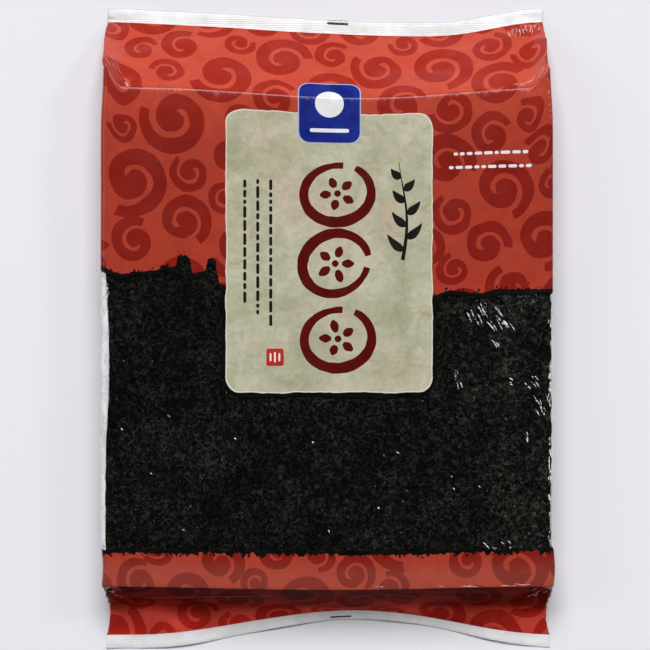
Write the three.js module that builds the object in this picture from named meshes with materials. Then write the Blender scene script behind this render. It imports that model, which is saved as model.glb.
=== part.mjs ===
// A sealed film pack of dried seaweed sheets, lying on its back.
// Millimetres, +Z up, +Y towards the pack's top end. The origin is under the middle of its outline.
// The stack of sheets fills the pack from one end crease to the other. Past each crease the front
// film runs down to a flat seal strip, and the side walls fold in between front and back. Both seal
// strips lie at the height of the pack's back.

import * as THREE from "three";

// ---- Driving dimensions ----
const LENGTH = 283.8; // over both seal strips
const HALF_WIDTH = 98; // from the middle to a long side
const HEIGHT = 27; // back to front, a hundred sheets thick
const EDGE_RADIUS = 2.2; // rounding of the long edges
const FOLD_RADIUS = 0.4; // of the same edges past the creases, where the side walls fold in
const FOLD_START = 0.12; // how far past a crease the edges are that sharp
const MOST_ROUNDING = 0.45; // of the pack's height, where it is thin
const SIDE_SWELL = 0.35; // how far the side walls swell at half height
const FRONT_SAG = 0.6; // how far the front sinks between its edges
const TUCK_DEPTH = 10; // how far the side walls fold in past the creases
const STRIP_WIDTH = 6.2; // of a seal strip, along Y
const STRIP_THICKNESS = 0.9;
const END_LIFT = 0.05; // what the back of an end stands clear of the floor

// Lines across the pack, by their places along Y
const TOP_EDGE = LENGTH / 2;
const TOP_CREASE = 104;
const BOTTOM_CREASE = -111.3;
const BOTTOM_FOOT = -122.5; // where the steep end face turns into the flare
const BOTTOM_EDGE = -LENGTH / 2;

// How these lines bend along Y: deepest at the centre, straight past the two reaches
const TOP_EDGE_BEND = { depth: -6.4, centre: 46, left: 160, right: 52 };
const TOP_CREASE_BEND = { depth: -4.5, centre: 16, left: 100, right: 85 };
const BOTTOM_CREASE_BEND = { depth: -1.5, centre: 1, left: 100, right: 100 };
const BOTTOM_SEAL_BEND = { depth: 11, centre: 13, left: 100, right: 90 };
const BOTTOM_EDGE_BEND = { depth: 13, centre: 15, left: 100, right: 92 };

// The two ends: how far the film past the crease lies to the side of the pack's middle, half of its
// width at the seal, how far it pulls in on the way there, and the phase of the strips' waves in
// radians
const TOP_END = { shift: -0.7, halfWidth: HALF_WIDTH - 1.8, waist: 0.2, phase: 1 };
const BOTTOM_END = { shift: 0.4, halfWidth: HALF_WIDTH - 0.5, waist: 1.4, phase: 4 };
const SEAL_NARROWING = 6; // how late towards the seal the film narrows

const EAR_WIDTH = 11; // beside the long sides, where the top crease runs on towards the top edge
const EAR_LENGTH = 9;

// Heights of the front film
const CREASE_HEIGHT = HEIGHT - 0.8;
const FOOT_HEIGHT = 7;
const SEAL_HEIGHT = 1.5;
const SEAL_RISE = 2.6; // more at the middle of the bottom end, where the strip slopes to the floor
const CURL = 1.2; // how far the strips' wavy edges lift
const CURL_LENGTH = 46; // of one wave
const BEND_LENGTH = 3; // of the rounding beside a crease

// Steps of the skin
const STEPS_ACROSS = 28;
const STEPS_DOWN_SIDE = 9;

const { abs, cos, max, min, sin, sqrt, PI } = Math;
const mix = (a, b, t) => a + (b - a) * t;

function smoothStep(t) {
  const clamped = min(max(t, 0), 1);
  return clamped * clamped * (3 - 2 * clamped);
}

function bend({ depth, centre, left, right }, x) {
  const reach = min(abs(x - centre) / (x < centre ? left : right), 1);
  return depth * cos((PI / 2) * reach) ** 2;
}

function ear(x) {
  return EAR_LENGTH * smoothStep((abs(x) - HALF_WIDTH + EAR_WIDTH) / EAR_WIDTH);
}

function curl(x, phase) {
  return CURL * (0.5 + 0.5 * sin((2 * PI * x) / CURL_LENGTH + phase));
}

// ---- Lines across the pack: y and z of the front film over x ----
// past says how far a line lies past its crease: 0 along the stack and 1 at the seal.
// curled and eared say how much of the strips' waves and of the top crease's ears a line has.
const bottomEdge = {
  y: (x) => BOTTOM_EDGE + bend(BOTTOM_EDGE_BEND, x),
  z: () => END_LIFT + STRIP_THICKNESS,
  past: 1,
  curled: 1,
  eared: 0,
};
const bottomSeal = {
  y: (x) => BOTTOM_EDGE + STRIP_WIDTH + bend(BOTTOM_SEAL_BEND, x),
  z: (x) => SEAL_HEIGHT + (SEAL_RISE * bend(BOTTOM_SEAL_BEND, x)) / BOTTOM_SEAL_BEND.depth,
  past: 1,
  curled: 0.6,
  eared: 0,
};
const bottomFoot = {
  y: () => BOTTOM_FOOT,
  z: () => FOOT_HEIGHT,
  past: 0.5,
  curled: 0,
  eared: 0,
};
const bottomCrease = {
  y: (x) => BOTTOM_CREASE + bend(BOTTOM_CREASE_BEND, x),
  z: () => CREASE_HEIGHT,
  past: 0,
  curled: 0,
  eared: 0,
};
const topCrease = {
  y: (x) => TOP_CREASE + bend(TOP_CREASE_BEND, x),
  z: () => CREASE_HEIGHT,
  past: 0,
  curled: 0,
  eared: 1,
};
const topSeal = {
  y: (x) => TOP_EDGE - STRIP_WIDTH + bend(TOP_EDGE_BEND, x),
  z: () => SEAL_HEIGHT,
  past: 1,
  curled: 0.6,
  eared: 0,
};
const topEdge = {
  y: (x) => TOP_EDGE + bend(TOP_EDGE_BEND, x),
  z: () => END_LIFT + STRIP_THICKNESS,
  past: 1,
  curled: 1,
  eared: 0,
};

// Where the rounding beside a crease reaches the full height of the front
function frontEnd(crease, shift) {
  return { ...crease, y: (x) => crease.y(x) + shift, z: () => HEIGHT };
}

const bottomFrontEnd = frontEnd(bottomCrease, BEND_LENGTH);
const topFrontEnd = frontEnd(topCrease, -BEND_LENGTH);

// The front film between two lines, from the bottom edge to the top edge
const PANELS = [
  { from: bottomEdge, to: bottomSeal, steps: 2 },
  { from: bottomSeal, to: bottomFoot, steps: 5 },
  { from: bottomFoot, to: bottomCrease, steps: 6 },
  { from: bottomCrease, to: bottomFrontEnd, steps: 2 },
  { from: bottomFrontEnd, to: topFrontEnd, steps: 12 },
  { from: topFrontEnd, to: topCrease, steps: 2 },
  { from: topCrease, to: topSeal, steps: 12 },
  { from: topSeal, to: topEdge, steps: 2 },
];

function lineBetween(from, to, t) {
  return {
    y: (x) => mix(from.y(x), to.y(x), t),
    z: (x) => mix(from.z(x), to.z(x), t),
    past: mix(from.past, to.past, t),
    curled: mix(from.curled, to.curled, t),
    eared: mix(from.eared, to.eared, t),
  };
}

function allLines() {
  const lines = [PANELS[0].from];
  for (const { from, to, steps } of PANELS) {
    for (let step = 1; step <= steps; step++) {
      lines.push(lineBetween(from, to, step / steps));
    }
  }
  return lines;
}

// Points once round the pack at one line: across the front, down the right side, back across the
// back and up the left side.
function ringAround(line) {
  const end = line.y(0) > 0 ? TOP_END : BOTTOM_END;
  const folded = smoothStep(line.past / FOLD_START);
  const shift = end.shift * folded;
  const narrowed = mix(HALF_WIDTH - SIDE_SWELL, end.halfWidth, line.past ** SEAL_NARROWING);
  const width = narrowed - end.waist * sin(PI * line.past);
  const radius = min(mix(EDGE_RADIUS, FOLD_RADIUS, folded), MOST_ROUNDING * line.z(width));
  const flat = width - radius;
  const lifted = (x) => line.curled * curl(x, end.phase);
  const backY = line.y;
  const frontY = (x) => line.y(x) + line.eared * ear(x);
  const backZ = (x) => END_LIFT * smoothStep(line.past) + lifted(x);
  const frontZ = (x) => line.z(x) + lifted(x) - frontSag(x, line.y(x));

  const acrossAt = (step) => shift + mix(-flat, flat, step / STEPS_ACROSS);
  const ring = [];
  for (let step = 0; step <= STEPS_ACROSS; step++) {
    const x = acrossAt(step);
    ring.push([x, frontY(x), frontZ(x)]);
  }
  ring.push(...sideWall(1));
  for (let step = STEPS_ACROSS; step >= 0; step--) {
    const x = acrossAt(step);
    ring.push([x, backY(x), backZ(x)]);
  }
  ring.push(...sideWall(-1).reverse());
  return ring;

  // From the front to the back, rounded at both edges and folded in past a crease
  function sideWall(side) {
    const edge = shift + side * width;
    const top = frontZ(edge);
    const height = top - backZ(edge);
    const swell = SIDE_SWELL * (1 - smoothStep(line.past));
    const tuck = TUCK_DEPTH * sin(PI * line.past);
    const points = [];
    for (let step = 1; step <= STEPS_DOWN_SIDE; step++) {
      const drop = 0.5 - 0.5 * cos((PI * step) / (STEPS_DOWN_SIDE + 1));
      const fromEdge = min(radius, height * min(drop, 1 - drop));
      const rounding = radius - sqrt(radius ** 2 - (radius - fromEdge) ** 2);
      const x = shift + side * (width - rounding + (swell - tuck) * sin(PI * drop));
      const y = mix(frontY(edge), backY(edge), drop);
      points.push([x, y, top - height * drop]);
    }
    return points;
  }
}

function frontSag(x, y) {
  const across = 1 - (x / HALF_WIDTH) ** 2;
  const along = 1 - (y / TOP_CREASE) ** 2;
  return FRONT_SAG * max(across, 0) * max(along, 0);
}

// A closed skin over all rings, with a cap on the cut edge of each seal strip
function packGeometry() {
  const rings = allLines().map(ringAround);
  const around = rings[0].length;
  const lastRing = (rings.length - 1) * around;
  const indices = [];

  for (let ring = 0; ring + 1 < rings.length; ring++) {
    for (let k = 0; k < around; k++) {
      const here = ring * around + k;
      const beside = ring * around + ((k + 1) % around);
      indices.push(here, beside, beside + around, here, beside + around, here + around);
    }
  }
  addCap(0, (a, b, c) => indices.push(a, c, b));
  addCap(lastRing, (a, b, c) => indices.push(a, b, c));

  const geometry = new THREE.BufferGeometry();
  geometry.setAttribute("position", new THREE.Float32BufferAttribute(rings.flat(2), 3));
  geometry.setIndex(indices);
  geometry.computeVertexNormals();
  return geometry;

  // Each front point pairs with the back point under it, and a fan closes each side.
  function addCap(first, triangle) {
    const front = (step) => first + step;
    const back = (step) => first + 2 * STEPS_ACROSS + 1 + STEPS_DOWN_SIDE - step;
    for (let step = 0; step < STEPS_ACROSS; step++) {
      triangle(front(step), front(step + 1), back(step + 1));
      triangle(front(step), back(step + 1), back(step));
    }
    for (let k = front(STEPS_ACROSS) + 1; k < back(STEPS_ACROSS); k++) {
      triangle(front(STEPS_ACROSS), k, k + 1);
    }
    for (let k = back(0) + 1; k < first + around; k++) {
      triangle(back(0), k, k + 1 < first + around ? k + 1 : first);
    }
  }
}

const film = new THREE.MeshStandardMaterial({ color: 0xa73d2e, roughness: 0.35, metalness: 0 });

const group = new THREE.Group();
const pack = new THREE.Mesh(packGeometry(), film);
pack.name = "nori_pack";
group.add(pack);

export default group;
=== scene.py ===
"""A sealed film pack of dried seaweed sheets, lying on its back, seen from straight above.

The pack is a bag of thin printed film round a stack of sheets. The film is laid out flat first, in
millimetres: u runs round the bag from the middle of its front, v runs along it towards its top end.
The print is drawn there as closed outlines, and one triangulation of the flat film takes them all
in. bag_point() then folds the flat film round the stack. Blender's meshes are in metres.
"""

import math
from collections import namedtuple

import bmesh
import bpy
import numpy as np
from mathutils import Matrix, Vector, kdtree
from mathutils.geometry import delaunay_2d_cdt


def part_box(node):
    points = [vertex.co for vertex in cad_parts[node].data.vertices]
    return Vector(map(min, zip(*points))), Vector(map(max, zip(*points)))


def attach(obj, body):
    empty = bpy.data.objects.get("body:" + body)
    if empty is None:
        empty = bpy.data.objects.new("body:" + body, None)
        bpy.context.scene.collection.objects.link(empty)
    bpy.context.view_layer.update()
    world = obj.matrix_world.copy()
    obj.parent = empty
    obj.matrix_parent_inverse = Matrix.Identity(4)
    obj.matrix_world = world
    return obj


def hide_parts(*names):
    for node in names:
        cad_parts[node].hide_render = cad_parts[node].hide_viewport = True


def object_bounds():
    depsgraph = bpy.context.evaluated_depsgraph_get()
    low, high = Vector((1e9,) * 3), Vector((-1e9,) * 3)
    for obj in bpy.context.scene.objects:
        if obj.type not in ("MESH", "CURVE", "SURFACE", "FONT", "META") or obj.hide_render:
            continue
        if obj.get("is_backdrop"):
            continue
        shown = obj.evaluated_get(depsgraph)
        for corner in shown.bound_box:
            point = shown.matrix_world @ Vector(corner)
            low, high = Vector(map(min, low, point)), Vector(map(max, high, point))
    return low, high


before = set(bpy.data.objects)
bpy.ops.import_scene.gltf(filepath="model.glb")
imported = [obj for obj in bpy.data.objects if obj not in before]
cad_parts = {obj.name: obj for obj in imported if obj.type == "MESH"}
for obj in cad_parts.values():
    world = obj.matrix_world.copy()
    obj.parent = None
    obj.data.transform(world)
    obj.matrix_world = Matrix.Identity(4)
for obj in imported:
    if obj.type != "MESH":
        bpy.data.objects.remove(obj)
CAD_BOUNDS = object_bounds()

MM = 0.001
PACK_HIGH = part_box("nori_pack")[1] / MM  # the CAD pack's highest corner, in millimetres

# ---- The folded bag, in millimetres ----
HALF_LENGTH = PACK_HIGH.y
HALF_WIDTH = PACK_HIGH.x
HEIGHT = PACK_HIGH.z
EDGE_RADIUS = 2.2  # rounding of the long edges
FOLD_RADIUS = 0.4  # of the same edges past the creases, where the side walls fold in
FOLD_START = 0.12  # how far past a crease the edges are that sharp
MOST_ROUNDING = 0.45  # of the pack's height, where it is thin
SIDE_SWELL = 0.35  # how far the side walls swell at half height
FRONT_SAG = 0.6  # how far the front sinks between its edges
TUCK_DEPTH = 10  # how far the side walls fold in past the creases
STRIP_WIDTH = 6.2  # of a seal strip, along y
STRIP_THICKNESS = 0.35
CUT_EDGE = 0.4  # over which a strip closes at its outer edge
END_LIFT = 0.05  # what the back of an end stands clear of the floor
BACK_LIFT = 0.12  # the back film's height beside the seam along its middle
SEAM_WIDTH = 9  # of the seam along the middle of the back
SEAM_STEP = 0.5  # beside the seam, over which the back film lifts
TUCK_SHAPE = 1.5  # how round a folded side wall is: 2 is an arc, and 1 is a sharp fold

TOP_CREASE = 104
BOTTOM_CREASE = -111.3
BOTTOM_FOOT = -122.5  # where the steep end face turns into the flare

# How the lines across the pack bend along y: depth, centre, reach to the left and to the right
Bend = namedtuple("Bend", "depth centre left right")
TOP_EDGE_BEND = Bend(-6.4, 46, 160, 52)
TOP_CREASE_BEND = Bend(-4.5, 16, 100, 85)
BOTTOM_CREASE_BEND = Bend(-1.5, 1, 100, 100)
BOTTOM_SEAL_BEND = Bend(11, 13, 100, 90)
BOTTOM_EDGE_BEND = Bend(13, 15, 100, 92)
EAR_WIDTH = 11  # beside the long sides, where the top crease runs on towards the top edge
EAR_LENGTH = 9

CREASE_HEIGHT = HEIGHT - 0.15
FOOT_HEIGHT = 7
SEAL_HEIGHT = 1.2
SEAL_RISE = 0.9  # more at the middle of the bottom end
CURL = 1.2  # how far the strips' wavy edges lift
CURL_LENGTH = 46  # of one wave
BEND_LENGTH = 0.5  # of the rounding beside a crease
CREASE_ROUNDING = 0.3
CREASE_ROW = 0.4  # between the rows of points along a crease

# The two ends: where the film lies past the crease to the side of the pack's middle, half of its
# width at the seal, how far it pulls in on the way there, and the phase of the strips' waves
End = namedtuple("End", "shift half_width waist phase")
TOP_END = End(-0.7, HALF_WIDTH - 1.8, 0.2, 1)
BOTTOM_END = End(0.6, HALF_WIDTH + 0.3, 1.4, 4)
SEAL_NARROWING = 6  # how late towards the seal the film narrows
TOP_TAPER = (22, 1.1)  # towards the top crease: over which length, and how much narrower
SWAY = (-104, 9, 0.9)  # to the right above the bottom crease: its middle along v, reach and size
PULL_FADE = 6  # how near the long edges the film gives way sideways where the pack narrows

# ---- The flat film: places along v, by how far the film runs from line to line ----
V_BOTTOM_EDGE = -150.6
V_BOTTOM_SEAL = -144.4
V_BOTTOM_FOOT = -133.9
V_BOTTOM_CREASE = -112
V_STRAIGHT_LOW = -60  # from here to V_STRAIGHT_HIGH a line lies at y = v
V_STRAIGHT_HIGH = 50
V_TOP_CREASE = 101.5
V_TOP_SEAL = 140.5
V_TOP_EDGE = 146.7

# Distances round the bag from the middle of the front, where it is full
FLAT = HALF_WIDTH - SIDE_SWELL - EDGE_RADIUS
SIDE_PATH = math.pi * EDGE_RADIUS + HEIGHT - 2 * EDGE_RADIUS
ARC_SHARE = math.pi / 2 * EDGE_RADIUS / SIDE_PATH  # of a side wall's path, for each rounded edge
HALF_ROUND = 2 * FLAT + SIDE_PATH

# ---- The print's places on the front, in the same millimetres as x and y ----
LABEL_CENTRE = (1.0, 33.2)
LABEL_SIZE = (89.4, 122)
LABEL_RADIUS = 6.5
LABEL_RIM = 0.5
LABEL_SHADE = 3.2  # how much larger the dark shade under the label is
BADGE_CENTRE = (1.1, 95.2)
BADGE_SIZE = (27.2, 29)
BADGE_RADIUS = 5
BADGE_RIM = 0.5
BADGE_DISC = ((0, 3.4), 6.2)  # from the badge's centre, and its radius
BADGE_BAR = ((0, -8.6), (17, 1.7))  # from the badge's centre, and its size

Ink = namedtuple("Ink", "name outline")
TINY = 1e-6  # keeps divisions from failing, and covers rounding errors


def inked(name, outlines):
    """All these outlines in one ink."""
    return [Ink(name, outline) for outline in outlines]


def smooth_step(t):
    t = np.clip(t, 0, 1)
    return t * t * (3 - 2 * t)


def mix(a, b, t):
    return a + (b - a) * t


def with_height(outline, z):
    """Points of a plan, n x 2, at one height."""
    return np.column_stack([outline, np.full(len(outline), z)])


def ways(angle):
    """Unit vectors at these angles."""
    return np.stack([np.cos(angle), np.sin(angle)], 1)


# ---------------------------------------------------------------- noise

LATTICE = 32  # cells, after which the noise repeats


def soft_noise(points, cell, seed):
    """Smooth noise from -1 to 1 at each row of points, with bumps about one cell wide."""
    lattice = np.random.default_rng(seed).uniform(-1, 1, (LATTICE, LATTICE, LATTICE))
    scaled = np.asarray(points, float) / cell
    low = np.floor(scaled).astype(int)
    part = smooth_step(scaled - low)
    total = np.zeros(len(scaled))
    for corner in np.ndindex(2, 2, 2):
        i, j, k = ((low + corner) % LATTICE).T
        weight = np.prod(np.where(corner, part, 1 - part), axis=1)
        total += weight * lattice[i, j, k]
    return total


def layered_noise(points, layers):
    """The sum of layers of noise, each with its height, cell and seed."""
    return sum(height * soft_noise(points, cell, seed) for height, cell, seed in layers)


def ragged(place, cell, seed):
    """Noise along a line, from -1 to 1."""
    points = np.zeros((len(place), 3))
    points[:, 0] = place
    points[:, 1] = seed * 0.37
    return soft_noise(points, cell, seed)


# ---------------------------------------------------------------- form of the folded bag


def bend(shape, x):
    """How far a line bends at x: deepest at the shape's centre, straight past its reaches."""
    reach = np.abs(x - shape.centre) / np.where(x < shape.centre, shape.left, shape.right)
    return shape.depth * np.cos(math.pi / 2 * np.minimum(reach, 1)) ** 2


def hump(place, middle, reach, size):
    """A rounded rise of that size about its middle."""
    return size * np.exp(-(((place - middle) / reach) ** 2))


def ear(x):
    return EAR_LENGTH * smooth_step((np.abs(x) - HALF_WIDTH + EAR_WIDTH) / EAR_WIDTH)


def at_end(v, name):
    return np.where(v > 0, getattr(TOP_END, name), getattr(BOTTOM_END, name))


def curl(x, v):
    return CURL * (0.5 + 0.5 * np.sin(math.tau * x / CURL_LENGTH + at_end(v, "phase")))


def level(height):
    """The same height, or place, all over x."""
    return lambda x: np.full_like(x, height)


def bottom_seal_z(x):
    return SEAL_HEIGHT + SEAL_RISE * bend(BOTTOM_SEAL_BEND, x) / BOTTOM_SEAL_BEND.depth


# A line across the front film: its place on the flat film, y and z over x, how far it lies past
# its crease, and its share of the strips' waves and of the top crease's ears.
Line = namedtuple("Line", "v y z past curled eared")
STRIP_TOP = END_LIFT + STRIP_THICKNESS


def bent_line(v, y, shape, z, past=0, curled=0, eared=0):
    """A line that bends round a straight one at y."""
    return Line(v, lambda x: y + bend(shape, x), z, past, curled, eared)


LINES = [
    bent_line(V_BOTTOM_EDGE, -HALF_LENGTH, BOTTOM_EDGE_BEND, level(END_LIFT), 1, 1),
    bent_line(V_BOTTOM_EDGE + CUT_EDGE, CUT_EDGE - HALF_LENGTH, BOTTOM_EDGE_BEND, level(STRIP_TOP), 1, 1),
    bent_line(V_BOTTOM_SEAL, STRIP_WIDTH - HALF_LENGTH, BOTTOM_SEAL_BEND, bottom_seal_z, 1, 0.6),
    Line(V_BOTTOM_FOOT, level(BOTTOM_FOOT), level(FOOT_HEIGHT), 0.5, 0, 0),
    bent_line(V_BOTTOM_CREASE, BOTTOM_CREASE, BOTTOM_CREASE_BEND, level(CREASE_HEIGHT)),
    bent_line(V_BOTTOM_CREASE + BEND_LENGTH, BOTTOM_CREASE + BEND_LENGTH, BOTTOM_CREASE_BEND, level(HEIGHT)),
    Line(V_STRAIGHT_LOW, level(V_STRAIGHT_LOW), level(HEIGHT), 0, 0, 0),
    Line(V_STRAIGHT_HIGH, level(V_STRAIGHT_HIGH), level(HEIGHT), 0, 0, 0),
    bent_line(V_TOP_CREASE - BEND_LENGTH, TOP_CREASE - BEND_LENGTH, TOP_CREASE_BEND, level(HEIGHT), eared=1),
    bent_line(V_TOP_CREASE, TOP_CREASE, TOP_CREASE_BEND, level(CREASE_HEIGHT), eared=1),
    bent_line(V_TOP_SEAL, HALF_LENGTH - STRIP_WIDTH, TOP_EDGE_BEND, level(SEAL_HEIGHT), 1, 0.6),
    bent_line(V_TOP_EDGE - CUT_EDGE, HALF_LENGTH - CUT_EDGE, TOP_EDGE_BEND, level(STRIP_TOP), 1, 1),
    bent_line(V_TOP_EDGE, HALF_LENGTH, TOP_EDGE_BEND, level(END_LIFT), 1, 1),
]
LINE_V = np.array([line.v for line in LINES])


def line_share(v, name):
    return np.interp(v, LINE_V, [getattr(line, name) for line in LINES])


def between_lines(x, v, name):
    """y or z of the front film at x and v, straight from each line to the next."""
    values = np.stack([getattr(line, name)(x) for line in LINES])
    low = np.clip(np.searchsorted(LINE_V, v, side="right") - 1, 0, len(LINES) - 2)
    here = np.arange(len(v))
    part = np.clip((v - LINE_V[low]) / (LINE_V[low + 1] - LINE_V[low]), 0, 1)
    return mix(values[low, here], values[low + 1, here], part)


def rounded(x, v, name):
    """The same with each crease a little rounded. A cut edge stays as it is."""
    to_edge = np.minimum(v - V_BOTTOM_EDGE, V_TOP_EDGE - v)
    reach = np.clip(to_edge - CUT_EDGE, 0, CREASE_ROUNDING)
    shifts = (-1, -0.5, 0, 0.5, 1)
    return sum(between_lines(x, v + shift * reach, name) for shift in shifts) / len(shifts)


def front_sag(x, y):
    across = np.maximum(1 - (x / HALF_WIDTH) ** 2, 0)
    along = np.maximum(1 - (y / TOP_CREASE) ** 2, 0)
    return FRONT_SAG * across * along


def front_film(x, v):
    """y and z of the front film over x, and y of the back film under it."""
    back_y = rounded(x, v, "y")
    y = back_y + line_share(v, "eared") * ear(x)
    z = rounded(x, v, "z") + line_share(v, "curled") * curl(x, v) - front_sag(x, back_y)
    return y, z, back_y


def back_z(x, v):
    seam = smooth_step((SEAM_WIDTH / 2 + SEAM_STEP - np.abs(x)) / SEAM_STEP)
    lifted = BACK_LIFT * (1 - seam) * (1 - line_share(v, "past"))
    return END_LIFT * line_share(v, "past") + line_share(v, "curled") * curl(x, v) + lifted


def side_wall(share, radius, height, push):
    """Where the side wall is at a share of its path: distance out from the flat front, and drop."""
    arc = np.minimum(share, 1 - share) / ARC_SHARE
    turn = np.minimum(arc, 1) * math.pi / 2
    straight = np.clip((share - ARC_SHARE) / (1 - 2 * ARC_SHARE), 0, 1)
    in_arc = radius * (1 - np.cos(turn))
    drop = np.where(share < ARC_SHARE, in_arc, mix(radius, height - radius, straight))
    drop = np.where(share > 1 - ARC_SHARE, height - in_arc, drop)
    fold = 1 - np.abs(2 * drop / height - 1) ** TUCK_SHAPE
    return radius * np.sin(turn) + push * fold, drop


def half_width(v):
    past = line_share(v, "past")
    width = mix(HALF_WIDTH - SIDE_SWELL, at_end(v, "half_width"), past**SEAL_NARROWING)
    length, narrower = TOP_TAPER
    taper = narrower * smooth_step((v - V_TOP_CREASE + length) / length) * (1 - past)
    return width - taper - at_end(v, "waist") * np.sin(math.pi * past)


def bag_point(u, v):
    """Where the flat film's points lie in the folded bag, n x 3."""
    side = np.where(u < 0, -1.0, 1.0)
    round_bag = np.abs(u)
    past = line_share(v, "past")
    folded = smooth_step(past / FOLD_START)
    shift = at_end(v, "shift") * folded + hump(v, *SWAY)
    width = half_width(v)
    edge_x = side * width + shift
    edge_y, edge_top, edge_back_y = front_film(edge_x, v)
    edge_height = np.maximum(edge_top - back_z(edge_x, v), TINY)
    radius = mix(EDGE_RADIUS, FOLD_RADIUS, folded)
    radius = np.minimum(radius, MOST_ROUNDING * edge_height)

    on_back = round_bag > FLAT + SIDE_PATH
    from_middle = np.where(on_back, HALF_ROUND - round_bag, round_bag)
    pull = side * (width - radius - FLAT) + shift
    x = side * from_middle + pull * (from_middle / FLAT) ** PULL_FADE
    y, z, back_y = front_film(x, v)
    front = np.stack([x, y, z], 1)
    back = np.stack([x, back_y, back_z(x, v)], 1)

    push = SIDE_SWELL * (1 - smooth_step(past)) - TUCK_DEPTH * np.sin(math.pi * past)
    share = np.clip((round_bag - FLAT) / SIDE_PATH, 0, 1)
    out, drop = side_wall(share, radius, edge_height, push)
    wall_y = mix(edge_y, edge_back_y, drop / edge_height)
    wall = np.stack([side * (width - radius + out) + shift, wall_y, edge_top - drop], 1)

    on_front = (round_bag < FLAT)[:, None]
    return np.where(on_front, front, np.where(on_back[:, None], back, wall))


# ---------------------------------------------------------------- outlines for the print

FEWEST_POINTS = 8  # of an outline
CORNER_POINTS = 8  # of a box's round corner
WOBBLE_CELLS = (7, 2.2)  # of an uneven edge's long and short bumps


def ring_points(count):
    return np.arange(count) / count * math.tau


def disc(centre, radius, count=28):
    return np.array(centre) + radius * ways(ring_points(count))


def rounded_box(centre, size, radius, step=1.0, wobble=0.0, seed=0):
    """A box with round corners, its edge moved in and out by up to wobble."""
    half = np.array(size) / 2 - radius
    points = []
    corners = ((1, 1, 0), (-1, 1, 90), (-1, -1, 180), (1, -1, 270))
    for sx, sy, start in corners:
        for angle in np.radians(np.linspace(start, start + 90, CORNER_POINTS)):
            out = np.array([math.cos(angle), math.sin(angle)])
            points.append(half * (sx, sy) + radius * out)
    points = resample(np.array(points), step)
    if wobble:
        away = points / np.linalg.norm(points, axis=1)[:, None]
        place = with_height(points, seed * 9.0)
        for part, cell in enumerate(WOBBLE_CELLS):
            points = points + away * wobble / (1 + part) * soft_noise(place, cell, seed + part)[:, None]
    return points + np.array(centre)


def resample(points, step=None, count=None):
    """The same closed outline with so many points, or with a point about every step."""
    closed = np.vstack([points, points[:1]])
    lengths = np.linalg.norm(np.diff(closed, axis=0), axis=1)
    places = np.concatenate([[0], np.cumsum(lengths)])
    count = count or max(int(round(places[-1] / step)), FEWEST_POINTS)
    wanted = np.arange(count) / count * places[-1]
    return np.stack([np.interp(wanted, places, closed[:, axis]) for axis in (0, 1)], 1)


def signed_area(outline):
    x, y = outline.T
    return 0.5 * np.sum(x * np.roll(y, -1) - np.roll(x, -1) * y)


def stroke(path, widths, pieces=1):
    """A brush stroke along a path, cut across into pieces so that none laps over itself."""
    along = np.gradient(path, axis=0)
    along /= np.linalg.norm(along, axis=1)[:, None]
    across = np.stack([-along[:, 1], along[:, 0]], 1) * np.reshape(widths, (-1, 1)) / 2
    return bands(path + across, path - across, pieces)


def bands(one, other, pieces=1):
    """The band between two lines of as many points, cut across into pieces."""
    cuts = np.linspace(0, len(one) - 1, pieces + 1).astype(int)
    return [np.vstack([one[a : b + 1], other[a : b + 1][::-1]]) for a, b in zip(cuts, cuts[1:])]


# ---------------------------------------------------------------- scrolls on the red ground

SCROLL_SEED = 11
SCROLL_RADII = (6.6, 15.5)
SCROLL_COUNT = 345
SIZE_SPREAD = (1.1, 1.4)  # of the beta distribution between the two radii
SCROLL_PUSHES = 150
PUSH = 0.28  # of an overlap, in one go
NEIGHBOURS = 3.2  # how far away a scroll's neighbours can be, of the largest radius
SCROLL_GAP = 1.25  # left between neighbouring scrolls
LEAST_TOWARD = 0.02  # how far an angle has to turn towards a neighbour for its border to count
CELL_ANGLES = 48
CELL_ROUNDING = 6  # over how many of them to each side a cell's corners are rounded
WIDEST_CELL = 1.22  # a cell's longest reach, of its circle's radius
SCROLL_TURNS = (1.5, 1.72)
SCROLL_CORE = 0.28  # how far out the arm's inner end reaches, of the cell's reach
TURN_GAP = 0.155  # between an arm's turns, of the cell's reach
HOOK = 0.3  # turns over which that gap closes round the core
CORE_RADIUS = 0.24  # of the cell's mean reach
CORE_POINTS = 18
CLOCKWISE_SHARE = 0.1
ARM_START = 0.05  # turns before the arm starts to wind in
ARM_LENGTH = 40  # about how long a turn of the arm is
ARM_EDGE = (0.035, 4)  # how uneven the arm's outer edge is, and the cell of that
ARM_GAP = (0.3, 6)  # the same for its gap
POINTS_A_TURN = 36
PIECES_A_TURN = 6
PRINT_HEIGHT = 330  # along v, after which the packing of the scrolls starts again
INK_SPILL = 2  # how far an outline may run on past the red ground
LEAST_INK = 0.5  # of a piece, in square millimetres


def apart(places, others):
    """From others to places, round the bag the shorter way."""
    period = np.array((2 * HALF_ROUND, PRINT_HEIGHT))
    steps = places[:, None] - others
    return steps - period * np.round(steps / period)


def packed_circles(rng):
    """Circles of mixed sizes, pushed apart until they overlap no more than a little."""
    small, large = SCROLL_RADII
    radii = small + (large - small) * rng.beta(*SIZE_SPREAD, SCROLL_COUNT)
    half = np.array((HALF_ROUND, PRINT_HEIGHT / 2))
    places = rng.uniform(-half, half, (SCROLL_COUNT, 2))
    reach = radii[:, None] + radii
    np.fill_diagonal(reach, 0)
    for _ in range(SCROLL_PUSHES):
        steps = apart(places, places)
        far = np.linalg.norm(steps, axis=2) + TINY
        lap = np.maximum(reach - far, 0)
        places += PUSH * (steps / far[..., None] * lap[..., None]).sum(1)
    return (places + half) % (2 * half) - half, radii


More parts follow.
